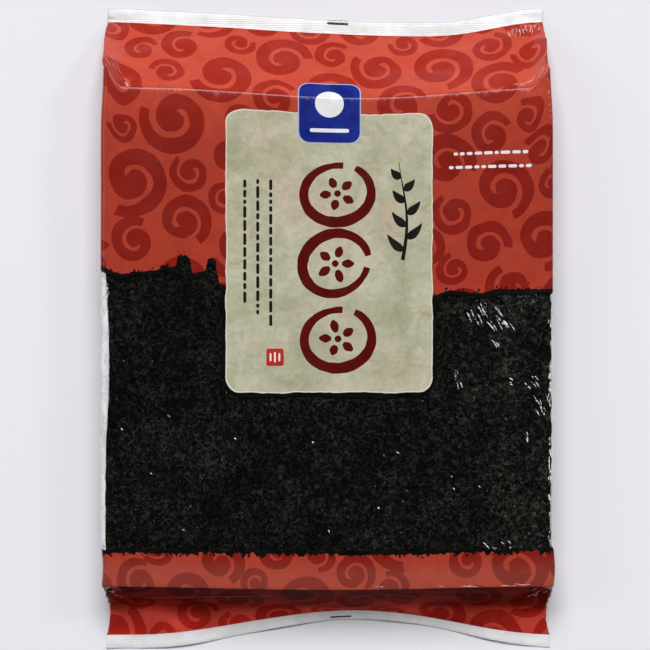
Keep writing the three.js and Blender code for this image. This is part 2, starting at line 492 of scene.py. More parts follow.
def cell_reach(index, places, radii, angles):
    """How far a circle's own room reaches at each angle, half a gap short of its neighbours'."""
    steps = -apart(places[index : index + 1], places)[0]
    far = np.linalg.norm(steps, axis=1)
    near = (far > 0) & (far < NEIGHBOURS * SCROLL_RADII[1])
    steps, far = steps[near], far[near]
    border = (far**2 + radii[index] ** 2 - radii[near] ** 2) / (2 * far)
    toward = ways(angles) @ (steps / far[:, None]).T
    reach = np.where(toward > LEAST_TOWARD, border / np.maximum(toward, LEAST_TOWARD), np.inf).min(1)
    reach = np.minimum(reach, WIDEST_CELL * radii[index]) - SCROLL_GAP / 2
    shifts = range(-CELL_ROUNDING, CELL_ROUNDING + 1)
    return sum(np.roll(reach, shift) for shift in shifts) / len(shifts)


def winding(turn, turns):
    """How far out a scroll's arm reaches that many turns from its outer end."""
    return 1 - (1 - SCROLL_CORE) * smooth_step((turn - ARM_START) / turns)


def scroll(rng, centre, angles, reach):
    """One scroll: a thick arm runs round the edge of its cell and winds in to a core. The narrow
    gap between its turns ends in a hook round the core."""
    size = reach.mean()
    turns = rng.uniform(*SCROLL_TURNS)
    turn = np.linspace(0, turns, int(turns * POINTS_A_TURN))
    start = rng.uniform(0, math.tau)
    angle = start + rng.choice((-1, 1), p=(CLOCKWISE_SHARE, 1 - CLOCKWISE_SHARE)) * math.tau * turn
    edge = np.interp(angle % math.tau, np.append(angles, math.tau), np.append(reach, reach[0]))
    seed = int(rng.integers(1, 9999))
    along = turn * ARM_LENGTH
    outer = edge * winding(turn, turns) * (1 + ARM_EDGE[0] * ragged(along, ARM_EDGE[1], seed))
    gap = TURN_GAP * size * (1 + ARM_GAP[0] * ragged(along, ARM_GAP[1], seed + 1))
    closing = 1 - smooth_step((turn + 1 - turns) / HOOK)
    inner = (edge * winding(turn + 1, turns) + gap) * closing
    return sectors(centre, angle, outer, inner) + [disc(centre, CORE_RADIUS * size, CORE_POINTS)]


def sectors(centre, angle, outer, inner):
    """The band between two distances from a centre, cut across into pieces."""
    rim, core = (centre + ways(angle) * far[:, None] for far in (outer, inner))
    count = int(len(angle) / POINTS_A_TURN * PIECES_A_TURN)
    return [without_repeats(piece) for piece in bands(rim, core, count)]


def without_repeats(outline):
    steps = np.linalg.norm(outline - np.roll(outline, 1, axis=0), axis=1)
    return outline[steps > TINY]


def shows(outline):
    """Whether part of an outline lies on one of the red grounds."""
    low, high = outline[:, 1].min(), outline[:, 1].max()
    in_window = low > WINDOW_BOTTOM_HIGHEST and high < WINDOW_TOP_LOWEST
    return low < V_TOP_SEAL and high > V_BOTTOM_SEAL and not in_window


def without_spill(outline):
    """The outline cut off a little way past the red ground, on the seal strip."""
    return cut_off(cut_off(outline, V_TOP_SEAL + INK_SPILL, 1), V_BOTTOM_SEAL - INK_SPILL, -1)


def cut_off(outline, limit, way):
    """What of an outline lies below a limit of v, or above it where way is -1."""
    kept = []
    for start, end in zip(outline, np.roll(outline, -1, axis=0)):
        start_in, end_in = way * start[1] <= way * limit, way * end[1] <= way * limit
        if start_in:
            kept.append(start)
        if start_in != end_in:
            kept.append(start + (limit - start[1]) / (end[1] - start[1]) * (end - start))
    return np.array(kept)


def scrolls():
    rng = np.random.default_rng(SCROLL_SEED)
    places, radii = packed_circles(rng)
    angles = ring_points(CELL_ANGLES)
    pieces = []
    for index, place in enumerate(places):
        drawn = scroll(rng, place, angles, cell_reach(index, places, radii, angles))
        pieces += drawn
        if abs(place[0]) + WIDEST_CELL * radii[index] > HALF_ROUND:
            around = (math.copysign(2 * HALF_ROUND, place[0]), 0)
            pieces += [piece - around for piece in drawn]
    pieces = [without_spill(piece) for piece in pieces if shows(piece)]
    return inked("scroll", (piece for piece in pieces if abs(signed_area(piece)) > LEAST_INK))


# ---------------------------------------------------------------- the printed grounds

# The window's upper edge: places round the bag, and heights along it
WINDOW_TOP = (
    (-HALF_ROUND, 20), (-130, 21), (-98, 27), (-96.9, 26.5), (-92.2, 24.3), (-89.2, 23.5),
    (-84.4, 23.9), (-83.6, 24.8), (-77.5, 25), (-71.9, 25.9), (-71.5, 27.4), (-66.3, 26.5),
    (-65, 26.9), (-64.6, 30.5), (-63.7, 31.2), (-60.7, 31.3), (-59, 30.2), (-58.7, 26.9),
    (-58, 23.7), (-56.4, 24.3), (-53.4, 24.8), (-52.1, 25.8), (-51.7, 28.7), (-51.1, 30.2),
    (-49.5, 30.7), (-47.8, 29.4), (-47.4, 24.3), (-46.4, 20), (-43.9, 18.7), (0, 16), (45, 14.2),
    (53, 16.6), (67, 15.2), (74, 16.8), (98, 17), (140, 19), (HALF_ROUND, 20),
)
WINDOW_TOP_LOWEST = 11  # the upper torn edge doesn't reach below this
WINDOW_BOTTOM = -97.4
WINDOW_BOTTOM_HIGHEST = -93  # nor the lower one above this
BAND_WIDTH = 2.0  # of the black band along the window's torn edges
# Where the print past the bottom crease has hardly any gloss: centre, size and corner radius
DULL_END = ((0, (V_BOTTOM_SEAL + V_BOTTOM_CREASE) / 2 - 0.5), (190, V_BOTTOM_CREASE - V_BOTTOM_SEAL + 1), 4)
LINE_STEP = 0.4
FLAKE_SEED = 23
FLAKES = 420  # torn scraps along each edge of the window
FLAKE_SIZES = (0.18, 0.75)
FLAKE_SPREAD = 0.55  # to each side of the edge
FLAKE_SKEW = (1, 2.5)  # of the beta distribution between the two sizes
FLAKE_EDGE = (0.6, 1.2)  # how far out a scrap's corners lie, of its size
FLAKE_MARGIN = 8  # beside the seam on the back, where there are none
FLAKE_POINTS = 7
FLAKE_LENGTH = 1.3  # along v, of its width
TEAR_CELL = 9  # of a torn edge's long steps
TOOTH_CELLS = (2.1, 0.9)
FINE_TEETH = 0.8  # how high the finer teeth are, of the coarser ones
TOOTH_RANGE = (0.7, 1.3)  # how high teeth are at least, and how much higher in some stretches
TOOTH_PATCH = 21  # from a stretch with large teeth to one with small teeth
SEAM_FADE = 6  # beside the seam on the back, over which a torn edge turns straight


def torn(u, height, coarse, fine, seed):
    """A torn edge at a height. It ends where it starts, at the seam."""
    fade = smooth_step((HALF_ROUND - np.abs(u)) / SEAM_FADE)
    teeth = ragged(u, TOOTH_CELLS[0], seed + 1) + FINE_TEETH * ragged(u, TOOTH_CELLS[1], seed + 2)
    least, more = TOOTH_RANGE
    teeth *= least + more * smooth_step(2 * ragged(u, TOOTH_PATCH, seed + 3))
    return height + fade * (coarse * ragged(u, TEAR_CELL, seed) + fine * teeth)


def window_line(height, shift, coarse, fine, seed):
    """A torn edge of the window, moved along v by shift from its height over u."""
    u = np.linspace(-HALF_ROUND, HALF_ROUND, int(2 * HALF_ROUND / LINE_STEP))
    return np.stack([u, torn(u, height(u) + shift, coarse, fine, seed)], 1)


def window_top(u):
    return np.interp(u, *np.transpose(WINDOW_TOP))


def ground(line, far_v):
    """From a line round the bag to a straight edge at far_v."""
    far = np.array([[HALF_ROUND, far_v], [-HALF_ROUND, far_v]])
    return np.vstack([line, far])


def flakes(line, rng):
    """Scraps of black print, scattered over the red beside a torn edge."""
    outlines = []
    reach = HALF_ROUND - FLAKE_MARGIN
    for u in rng.uniform(-reach, reach, FLAKES):
        v = np.interp(u, line[:, 0], line[:, 1]) + rng.normal(0, FLAKE_SPREAD)
        size = mix(*FLAKE_SIZES, rng.beta(*FLAKE_SKEW))
        angle = ring_points(FLAKE_POINTS) + rng.uniform(0, 1)
        out = size * rng.uniform(*FLAKE_EDGE, (FLAKE_POINTS, 1))
        outlines.append((u, v) + ways(angle) * (out * (1, FLAKE_LENGTH)))
    return inked("flake", outlines)


def grounds():
    """The printed ends, the black bands along their torn edges, and the seal strips."""
    window_bottom = level(WINDOW_BOTTOM)
    top_line = window_line(window_top, 0, coarse=0.3, fine=0.42, seed=41)
    bottom_line = window_line(window_bottom, 0, coarse=0.3, fine=0.5, seed=51)
    top_band = window_line(window_top, -BAND_WIDTH, coarse=0.7, fine=0.6, seed=21)
    bottom_band = window_line(window_bottom, BAND_WIDTH, coarse=0.6, fine=0.6, seed=31)
    rng = np.random.default_rng(FLAKE_SEED)
    return flakes(top_line, rng) + flakes(bottom_line, rng) + [
        Ink("band", ground(top_band, V_TOP_SEAL)),
        Ink("band", ground(bottom_band, V_BOTTOM_SEAL)),
        Ink("red", ground(top_line, V_TOP_SEAL)),
        Ink("red", ground(bottom_line, V_BOTTOM_SEAL)),
        Ink("seal", strip_outline(V_TOP_SEAL, V_TOP_EDGE)),
        Ink("seal", strip_outline(V_BOTTOM_EDGE, V_BOTTOM_SEAL)),
        Ink("end", rounded_box(*DULL_END)),
    ]


def strip_outline(low, high, step=2 * HALF_ROUND):
    """Once round the bag, from v = low to v = high, with a point at every step."""
    u = np.linspace(-HALF_ROUND, HALF_ROUND, int(2 * HALF_ROUND / step) + 1)
    lower = np.stack([u, np.full_like(u, low)], 1)
    return np.vstack([lower, lower[::-1] * (1, 0) + (0, high)])


ROW_STEP = 1.15  # between the points of a row
HOLLOW_ARCS = 0.25  # how far out the rows on the left follow the hollow in the sheets
# The rows along each long edge, in arcs of its rounding from where it starts, each with the name of
# the strip from there to the next row. On the right the sheets reach farther out, and the film's
# painted pale sheen at the edge is narrower.
EDGE_ROWS = {
    -1: ((-0.4, "clear"), (0.05, "edge"), (0.55, "edge"), (1, "clear"), (1.4, "")),
    1: ((-0.4, "clear"), (0.5, "edge"), (0.8, "edge"), (1, "clear"), (1.4, "")),
}


def crease_rows():
    """Strips along each crease and each long edge. They give the film's mesh straight rows of points,
    so that it folds cleanly under any print. Those named edge give clear film a painted pale sheen."""
    inks = []
    for v in (V_BOTTOM_FOOT, V_BOTTOM_CREASE, V_TOP_CREASE):
        inks.append(Ink("clear", strip_outline(v - CREASE_ROW, v, ROW_STEP)))
        inks.append(Ink("clear", strip_outline(v, v + CREASE_ROW, ROW_STEP)))
    v = np.linspace(V_BOTTOM_SEAL, V_TOP_SEAL, int((V_TOP_SEAL - V_BOTTOM_SEAL) / ROW_STEP))
    for side, rows in EDGE_ROWS.items():
        for (low, name), (high, _) in zip(rows, rows[1:]):
            inks += inked(name, bands(edge_row(side, low, v), edge_row(side, high, v)))
    return inks


def edge_row(side, arcs, v):
    """One row of points along a long edge."""
    u = side * (FLAT + SIDE_PATH * ARC_SHARE * arcs)
    hollow = left_hollow(v) if side < 0 and arcs < HOLLOW_ARCS else 0
    return np.stack([np.full_like(v, u) + hollow, v], 1)


# ---------------------------------------------------------------- the label and its drawing

DRAWING_SEED = 5
ROLL_CENTRES = ((4.6, 58.5), (3.6, 28), (4.8, -4.5))
ROLL_RADIUS = 13.2
ROLL_CORE = 1.5
RING_WIDTH = 4.6
RING_TURN = 0.94  # of a full turn
RING_POINTS = 76
RING_STRETCH = (1.06, 1)
RING_PIECES = 6
RING_STARTS = (0.2, 1.2)  # where the brush sets down, in radians
RING_UNEVEN = (0.05, 0.03)  # of its radius: how oval a ring is, and how rough its path
BRUSH_PRESS = (0.55, 0.45)  # of its width: at the ring's ends, and how much more between them
BRUSH_ROUGH = 0.5  # how uneven that width is
PETALS = 5
PETAL_FOOT = 2.9
PETAL_TIPS = (7.4, 8.6)
PETAL_WIDTH = 3.7
PETAL_POINTS = 12
PETAL_ROUGH = 0.25  # how uneven a petal's width is
SPRIG_FOOT = (32.7, 29.5)
SPRIG_HEIGHT = 43
SPRIG_BENDS = (1.8, 4.2)  # how far the stem bends to the side, and over how many radians
STEM_WIDTH = 1.5
LEAVES = 7
LEAF_SIZE = 8.2
LEAF_SHRINKING = 0.55  # from one leaf to the next
LEAF_WIDTH = 3.3
LEAF_ENDS = 0.35  # how wide a leaf still is at its ends
LEAF_PLACES = (0.1, 0.86)  # how far up the stem the first leaf sits, and over how much of it they spread
LEAF_OUT = 0.9  # how far a leaf reaches to the side, of its size
LEAF_RISE = (0.2, 0.62)  # the same upwards: straight, and more as it bends up
BAR_SEED = 9
COLUMN_PLACES = (-35.4, -29.8, -24.2)
COLUMN_TOP = 64.5
COLUMN_BOTTOM = 1
COLUMN_STEP = 5  # how much higher the column to the left starts
COLUMN_BARS = (5.5, 1.35)  # the longest bar, and how thick the bars are
NOTE_BARS = (4.5, 1.3)
BAR_GAP = 0.55  # between bars, of their thickness
SHORTEST_BAR = 0.35  # of the longest
BAR_ROUNDING = 0.45  # of a bar's shorter side
STAMP_CENTRE = (-22.4, -12.4)
STAMP_SIZE = 7.6
STAMP_BAR_STEP = 1.9
STAMP_BAR = (0.8, 4.8)  # the middle one's size. The other two are 1 mm shorter.
NOTE_RIGHT = 88.4
NOTE_STARTS = ((54.6, 75.2), (52.6, 69.4))
MARK_SIZE = (9.6, 1.1)  # of the black marks on the seal strips
MARK_CENTRES = ((4.8, V_TOP_EDGE - 1.6), (6.2, V_BOTTOM_SEAL - 4.2))


def label():
    size = np.array(LABEL_SIZE)
    shade = rounded_box(LABEL_CENTRE, size + LABEL_SHADE, LABEL_RADIUS + 2, wobble=0.8, seed=3)
    rim = rounded_box(LABEL_CENTRE, size, LABEL_RADIUS, step=0.9, wobble=0.62, seed=5)
    middle = np.array(LABEL_CENTRE)
    inner = middle + (rim - middle) * (1 - 2 * LABEL_RIM / size)
    return [Ink("shade", shade), Ink("rim", rim), Ink("label", inner)]


def badge():
    centre = np.array(BADGE_CENTRE)
    size = np.array(BADGE_SIZE)
    outer = rounded_box(centre, size, BADGE_RADIUS)
    inner = rounded_box(centre, size - 2 * BADGE_RIM, BADGE_RADIUS - BADGE_RIM)
    return [
        Ink("badge_rim", outer),
        Ink("badge", inner),
        Ink("white", disc(centre + BADGE_DISC[0], BADGE_DISC[1], 40)),
        Ink("white", rounded_box(centre + BADGE_BAR[0], BADGE_BAR[1], 0.8, step=0.6)),
    ]


def brush_ring(rng, centre, radius):
    """An open ring drawn with one turn of a brush."""
    part = np.linspace(0, 1, RING_POINTS)
    start = rng.uniform(*RING_STARTS)
    angle = start + rng.choice((-1, 1)) * math.tau * RING_TURN * part
    oval, rough = RING_UNEVEN
    out = radius * (1 + oval * np.sin(angle * 2 + start) + rough * ragged(part * 30, 4, 71))
    path = np.array(centre) + ways(angle) * RING_STRETCH * out[:, None]
    ends, more = BRUSH_PRESS
    width = RING_WIDTH * (ends + more * np.sin(math.pi * part**0.7))
    return stroke(path, width + BRUSH_ROUGH * ragged(part * 60, 2, 72), RING_PIECES)


def drawing():
    """Three rolls cut across, one under the other: a ring, and a filling of brush dabs round a core."""
    rng = np.random.default_rng(DRAWING_SEED)
    outlines = []
    for index, centre in enumerate(ROLL_CENTRES):
        outlines += brush_ring(rng, centre, ROLL_RADIUS) + [disc(centre, ROLL_CORE, 14)]
        turn = rng.uniform(0, math.tau)
        for petal in range(PETALS):
            angle = turn + petal * math.tau / PETALS
            away = np.array([math.cos(angle), math.sin(angle)])
            reach = np.linspace(PETAL_FOOT, rng.uniform(*PETAL_TIPS), PETAL_POINTS)
            part = np.linspace(0, 1, PETAL_POINTS)
            uneven = PETAL_ROUGH * ragged(part * 9 + index, 2, petal)
            width = PETAL_WIDTH * np.sin(math.pi * (0.12 + 0.8 * part)) + uneven
            outlines += stroke(centre + away * reach[:, None], width)
    return inked("maroon", outlines)


def sprig():
    """A frond: a bent stem with leaves to both sides."""
    part = np.linspace(0, 1, 40)
    x = SPRIG_FOOT[0] + SPRIG_BENDS[0] * np.sin(part * SPRIG_BENDS[1])
    y = SPRIG_FOOT[1] + SPRIG_HEIGHT * part
    stem = np.stack([x, y], 1)
    strokes = stroke(stem, STEM_WIDTH * (1.15 - part))
    first, spread = LEAF_PLACES
    straight, bent = LEAF_RISE
    for leaf in range(LEAVES):
        at = first + spread * leaf / LEAVES
        foot = np.array([np.interp(at, part, x), np.interp(at, part, y)])
        side = 1 if leaf % 2 else -1
        reach = LEAF_SIZE - LEAF_SHRINKING * leaf
        step = np.linspace(0, 1, 18)
        rise = reach * (straight * step + bent * step**2)
        away = np.stack([side * reach * step * LEAF_OUT, rise], 1)
        strokes += stroke(foot + away, LEAF_WIDTH * np.sin(math.pi * step**0.8) + LEAF_ENDS)
    return inked("black", strokes)


def bar(centre, size):
    return rounded_box(centre, size, min(size) * BAR_ROUNDING, step=0.8)


def bars(rng, start, end, across, upright, longest, thickness):
    """Bars of uneven length one after the other, between two places along a line."""
    gap = BAR_GAP * thickness
    outlines = []
    place = start
    while place < end - thickness:
        length = min(rng.uniform(SHORTEST_BAR, 1) * longest, end - place)
        middle = place + length / 2
        size = (thickness, length) if upright else (length, thickness)
        centre = (across, middle) if upright else (middle, across)
        outlines.append(bar(centre, size))
        place += length + gap
    return outlines


def small_print():
    """Where the real pack has its small lettering, rows of plain bars."""
    rng = np.random.default_rng(BAR_SEED)
    inks = []
    for index, x in enumerate(COLUMN_PLACES):
        bottom = COLUMN_BOTTOM + COLUMN_STEP * (2 - index)
        inks += inked("black", bars(rng, bottom, COLUMN_TOP, x, True, *COLUMN_BARS))
    for left, y in NOTE_STARTS:
        inks += inked("white", bars(rng, left, NOTE_RIGHT, y, False, *NOTE_BARS))
    stamp = rounded_box(STAMP_CENTRE, (STAMP_SIZE, STAMP_SIZE), 1, step=0.7, wobble=0.15, seed=81)
    inks.append(Ink("stamp", stamp))
    for turn in (-1, 0, 1):
        centre = (STAMP_CENTRE[0] + STAMP_BAR_STEP * turn, STAMP_CENTRE[1])
        inks.append(Ink("white", bar(centre, (STAMP_BAR[0], STAMP_BAR[1] - abs(turn)))))
    return inks + inked("mark", (bar(centre, MARK_SIZE) for centre in MARK_CENTRES))


# ---------------------------------------------------------------- sharp folds in the film

# A fold runs straight between two places on the flat film. Its ridge is that high in the middle and
# falls to nothing at its ends and, to both sides, over its width.
Fold = namedtuple("Fold", "start end width height")
FOLD_STEP = 0.8  # between the points along its ridge
FEWEST_STEPS = 4  # along a ridge
FOLD_ENDS = 0.7  # how blunt a fold's ends are: 1 is a plain arch, and less is blunter
FOLD_SEED = 41
GLINT_SEED = 43

LONG_FOLDS = (
    Fold((-96.5, 118.5), (-86.2, 105.6), 0.5, 0.12),
    Fold((-87.5, 107.2), (-84.5, 104.4), 0.6, 0.25),
    Fold((85, 104.6), (93.5, 106.4), 0.6, 0.2),
    Fold((-81, -123.6), (-14, -118.6), 0.55, 0.16),
    Fold((20, -117), (74, -121), 0.6, 0.14),
    Fold((-95.5, -114.5), (-84, -122.5), 1.8, 0.9),
    Fold((-94.5, -127), (-85.5, -118.5), 1.6, 0.8),
    Fold((82, -117.5), (95.8, -123.5), 2.0, 1.0),
    Fold((84.5, -128), (95.5, -117), 1.6, 0.8),
    Fold((78, -109.5), (97, -101), 1.3, 0.5),
    Fold((84, -111), (97.5, -108), 1.1, 0.45),
    Fold((-97, -108.5), (-86, -110.5), 1.1, 0.4),
)

# Groups of short folds or of painted glints: centre, half size, count, direction in degrees,
# shortest and longest
Patch = namedtuple("Patch", "centre reach count slant lengths")
PATCHES = (
    Patch((62.5, 5.5), (4, 4), 5, -60, (2, 5.5)),
    Patch((70, 4.5), (6, 4.5), 8, -58, (3, 7)),
    Patch((79, 0), (3, 3), 4, -50, (2, 5)),
    Patch((73, -8), (2, 3), 3, -60, (1.5, 3.5)),
    Patch((56.5, -22.5), (2, 4), 4, -72, (2, 5)),
    Patch((77, -22.5), (4, 2), 3, -30, (1, 2.5)),
    Patch((88.5, -22), (3, 4), 6, -55, (1.5, 4)),
    Patch((92.5, -32), (3, 6), 10, -65, (1.5, 4.5)),
    Patch((88, -47), (3, 3), 3, -60, (1, 2.5)),
    Patch((74, -94.3), (6, 1.8), 9, -50, (1.2, 3)),
    Patch((87, 134), (7.5, 3.5), 12, 80, (2, 5)),
    Patch((-88, -120), (5, 4), 5, -35, (2, 5)),
    Patch((90, -120), (5, 4), 6, 35, (2, 5)),
    Patch((-94.5, 18), (0.8, 5), 5, 85, (1.5, 4)),
    Patch((-60, -60), (30, 30), 4, -30, (1, 2)),
    Patch((20, -60), (60, 30), 8, -40, (0.8, 2)),
    Patch((52, V_BOTTOM_CREASE + 0.9), (36, 0.5), 8, 3, (2, 9)),
    Patch((96.2, -40), (0.4, 52), 24, 87, (1.5, 5)),
)
LINE_SIZES = (0.7, 1.25)  # of a patch's short lines
SLANT_SPREAD = 9  # in degrees
GLINT_SIDE = 1  # the flank of a fold that gets painted glints where it lies in clear film
# Where short painted glints, pale streaks that stand in for light off sharp creases, lie over the print
GLINT_PATCHES = (
    Patch((88, 136.2), (7.8, 2.2), 30, 82, (1.5, 4.5)),
    Patch((-86.6, 103.2), (0.9, 1.2), 5, -55, (1, 2.6)),
    Patch((-92, 110), (2.2, 2.5), 2, -58, (2, 5)),
    Patch((86, 104), (7, 1), 3, 8, (3, 7)),
    Patch((91, 106.5), (4, 1), 2, -20, (2, 4)),
    Patch((-90, V_BOTTOM_CREASE - 6), (3.5, 2.8), 10, -32, (1, 3.2)),
    Patch((-93, V_BOTTOM_CREASE - 1), (3, 0.8), 3, -10, (1, 3)),
    Patch((91, V_BOTTOM_CREASE - 7), (4, 4), 7, 38, (1, 3.5)),
    Patch((58, V_BOTTOM_CREASE + 0.7), (9, 0.35), 4, 3, (2, 6)),
    Patch((82, V_BOTTOM_CREASE + 1.2), (8, 0.6), 5, -4, (2, 6)),
    Patch((22.5, V_BOTTOM_CREASE + 1.4), (1.5, 0.2), 2, 10, (1, 2)),
)
GLINT_WIDTH = 0.2
GLINT_ENDS = 0.25  # how wide a painted glint is at its ends, of that
GLINT_RIDGES = LONG_FOLDS[:4]  # the long folds with a painted glint all along their ridge
GLINT_RIDGE_SIZE = 0.5  # of such a painted glint, in the sizes of LINE_SIZES
PATCH_WIDTH = 0.48  # of a patch's folds, and their height
PATCH_HEIGHT = 0.2
PATCH_SPREAD = (0.9, 1.35)  # how low and how high some of them are, of that


def short_lines(patches, rng):
    """Both ends of each line in these patches, and its size."""
    for patch in patches:
        for _ in range(patch.count):
            middle = np.array(patch.centre) + rng.uniform(-1, 1, 2) * patch.reach
            slant = math.radians(patch.slant + rng.normal(0, SLANT_SPREAD))
            half = rng.uniform(*patch.lengths) / 2 * np.array([math.cos(slant), math.sin(slant)])
            yield middle - half, middle + half, rng.uniform(*LINE_SIZES)


def all_folds():
    rng = np.random.default_rng(FOLD_SEED)
    folds = list(LONG_FOLDS)
    for start, end, size in short_lines(PATCHES, rng):
        height = PATCH_HEIGHT * size * rng.uniform(*PATCH_SPREAD)
        folds.append(Fold(start, end, PATCH_WIDTH * size, height))
    return folds


# Painted glints: pale strokes over the print where sharp creases would catch the light
def painted_glints():
    rng = np.random.default_rng(GLINT_SEED)
    ridges = [(fold.start, fold.end, GLINT_RIDGE_SIZE) for fold in GLINT_RIDGES]
    outlines = []
    for start, end, size in ridges + list(short_lines(GLINT_PATCHES, rng)):
        part, path = steps_along(start, end)
        widths = GLINT_WIDTH * size * (GLINT_ENDS + np.sin(math.pi * part))
        outlines += stroke(path, widths)
    return inked("crack", outlines)


def steps_along(start, end):
    """Shares of the way from start to end, about FOLD_STEP apart, and the points there."""
    step = np.subtract(end, start)
    part = np.linspace(0, 1, max(int(np.linalg.norm(step) / FOLD_STEP), FEWEST_STEPS) + 1)
    return part, start + part[:, None] * step


def along_and_across(fold):
    """Unit vectors along a fold and across it, and its length."""
    step = np.subtract(fold.end, fold.start)
    length = np.linalg.norm(step)
    return step / length, np.array([-step[1], step[0]]) / length, length


def fold_profile(part):
    """A fold's width and height along it, from 0 at its ends to 1 in the middle."""
    return np.abs(np.sin(math.pi * np.clip(part, 0, 1))) ** FOLD_ENDS


def fold_outlines(folds):
    """Each fold's two flanks, which give the film's mesh points along its ridge and its feet."""
    inks = []
    for fold in folds:
        part, ridge = steps_along(fold.start, fold.end)
        across = along_and_across(fold)[1] * fold.width
        for side in (-1, 1):
            foot = ridge + side * across * fold_profile(part)[:, None]
            # one flank of each fold gets painted glints wherever no print covers it
            name = "creased" if side == GLINT_SIDE else "clear"
            inks.append(Ink(name, np.vstack([ridge, foot[-2:0:-1]])))
    return inks


def fold_heights(folds, u, v):
    """How high the folds stand at each of the film's points."""
    total = np.zeros(len(u))
    for fold in folds:
        along, across, length = along_and_across(fold)
        du, dv = u - fold.start[0], v - fold.start[1]
        profile = fold_profile((du * along[0] + dv * along[1]) / length)
        away = np.abs(du * across[0] + dv * across[1])
        total += fold.height * profile * np.maximum(1 - away / (fold.width * profile + TINY), 0)
    return total


# ---------------------------------------------------------------- the film's mesh

# The later ink covers the earlier one.
INKS = (
    "clear edge_film creased band red end_red scroll end_scroll flake seal shade rim label badge_rim badge "
    "stamp white maroon black mark crack"
).split()
# Inks that change with the place: past the bottom crease the print has hardly any gloss, and along the long
# edges clear film gets a painted pale sheen
INKS_BY_PLACE = {
    "end": {"red": "end_red", "scroll": "end_scroll"},
    "edge": {"clear": "edge_film"},
}
GRID = 2.4  # between the mesh's own points
FINE_GRID = 1.1  # the same near a crease
FINE_REACH = 4  # to each side of a crease
CLEAR_OF_INK = 0.45  # how far from the print's outlines the grid's own points keep
BESIDE_STEP = 0.6  # between the places along an outline that are looked at for that
CUT_REACH = 1e-5  # how near two points of the flat film are taken for one
WELD_REACH = 0.03  # how far apart points may lie that are joined
# Indices in LINES: the lines that a row of the grid lies on, and those that it is finer beside
ROW_LINES = [0, 1, 2, 3, 4, 9, 10, 11, 12]
FINE_LINES = [2, 3, 4, 9, 10]


def stops(low, high, fine_places):
    """Places from low to high, closer together near the fine places."""
    places = [low]
    while places[-1] < high:
        near = min((abs(places[-1] - fine) for fine in fine_places), default=high)
        places.append(places[-1] + (FINE_GRID if near < FINE_REACH else GRID))
    places = np.array(places)
    return low + (places - low) * (high - low) / (places[-1] - low)


def grid_lines():
    """The flat film's grid. What lies on the back mirrors the front, so that the cut edges meet."""
    front = stops(0, FLAT, (FLAT,))
    wall = stops(FLAT, FLAT + SIDE_PATH, (FLAT, FLAT + SIDE_PATH / 2, FLAT + SIDE_PATH))
    half = np.concatenate([front, wall[1:-1], (HALF_ROUND - front)[::-1]])
    columns = np.concatenate([-half[::-1], half[1:]])
    spans = LINE_V[ROW_LINES]
    rows = [spans[:1]]
    for low, high in zip(spans[:-1], spans[1:]):
        rows.append(stops(low, high, LINE_V[FINE_LINES])[1:])
    return columns, np.concatenate(rows)


def counter_clockwise(outline):
    """The outline in the order that the triangulation needs, from its longest edge on."""
    if signed_area(outline) < 0:
        outline = outline[::-1]
    edges = np.linalg.norm(np.roll(outline, -1, axis=0) - outline, axis=1)
    return np.roll(outline, -int(np.argmax(edges)), axis=0)


def grid_points(columns, rows, ink_points):
    """The grid's points, less those right beside the print's outlines."""
    u, v = (a.ravel() for a in np.meshgrid(columns, rows))
    tree = kdtree.KDTree(len(ink_points))
    for index, (a, b) in enumerate(ink_points):
        tree.insert((a, b, 0), index)
    tree.balance()
    edge = (np.abs(u) > HALF_ROUND - TINY) | (v < V_BOTTOM_EDGE + TINY) | (v > V_TOP_EDGE - TINY)
    keep = [on_edge or tree.find((a, b, 0))[2] > CLEAR_OF_INK for a, b, on_edge in zip(u, v, edge)]
    return np.stack([u, v], 1)[keep]


def flat_film(inks):
    """Points and triangles of the flat film, and the index in INKS of the ink on each triangle."""
    inks = [Ink("clear", strip_outline(V_BOTTOM_EDGE, V_TOP_EDGE))] + inks
    outlines = [counter_clockwise(ink.outline) for ink in inks]
    ink_points = np.vstack(outlines)
    beside = np.vstack([resample(outline, BESIDE_STEP) for outline in outlines])
    off_lines = np.abs(beside[:, 1:] - LINE_V).min(1) > CLEAR_OF_INK
    beside = np.vstack([ink_points, beside[off_lines]])
    points = np.vstack([ink_points, grid_points(*grid_lines(), beside)])
    starts = np.cumsum([0] + [len(outline) for outline in outlines])
    faces = [list(range(a, b)) for a, b in zip(starts, starts[1:])]
    vectors = [Vector(point) for point in points.tolist()]
    places, _, cut_faces, _, _, sources = delaunay_2d_cdt(vectors, [], faces, 0, CUT_REACH, True)
    on_film = [index for index, outlines_there in enumerate(sources) if 0 in outlines_there]
    used, triangles = np.unique([cut_faces[index] for index in on_film], return_inverse=True)
    top_inks = [ink_on({inks[source].name for source in sources[index]}) for index in on_film]
    return np.array([places[index][:] for index in used]), triangles.reshape(-1, 3).tolist(), top_inks


def ink_on(names):
    """The one of these inks that shows. The label's shade isn't printed on red, and the scrolls and
    flakes are printed on red only."""
    names = names - ({"shade"} if "red" in names else {"scroll", "flake"})
    shown = max(names.intersection(INKS), key=INKS.index)
    for place in names.intersection(INKS_BY_PLACE):
        shown = INKS_BY_PLACE[place].get(shown, shown)
    return INKS.index(shown)


def mesh_object(name, points, faces, smooth=True):
    mesh = bpy.data.meshes.new(name)
    mesh.from_pydata((np.asarray(points) * MM).tolist(), [], faces)
    mesh.polygons.foreach_set("use_smooth", [smooth] * len(mesh.polygons))
    mesh.update()
    piece = bpy.data.objects.new(name, mesh)
    bpy.context.scene.collection.objects.link(piece)
    return piece


def read(items, name, width=1, kind=np.float32):
    """One property of all of a mesh's points, corners or values, one after the other."""
    values = np.empty(len(items) * width, kind)
    items.foreach_get(name, values)
    return values


def corner_points(mesh):
    """The point at each corner of each face, one after the other."""
    return read(mesh.loops, "vertex_index", kind=np.int32)


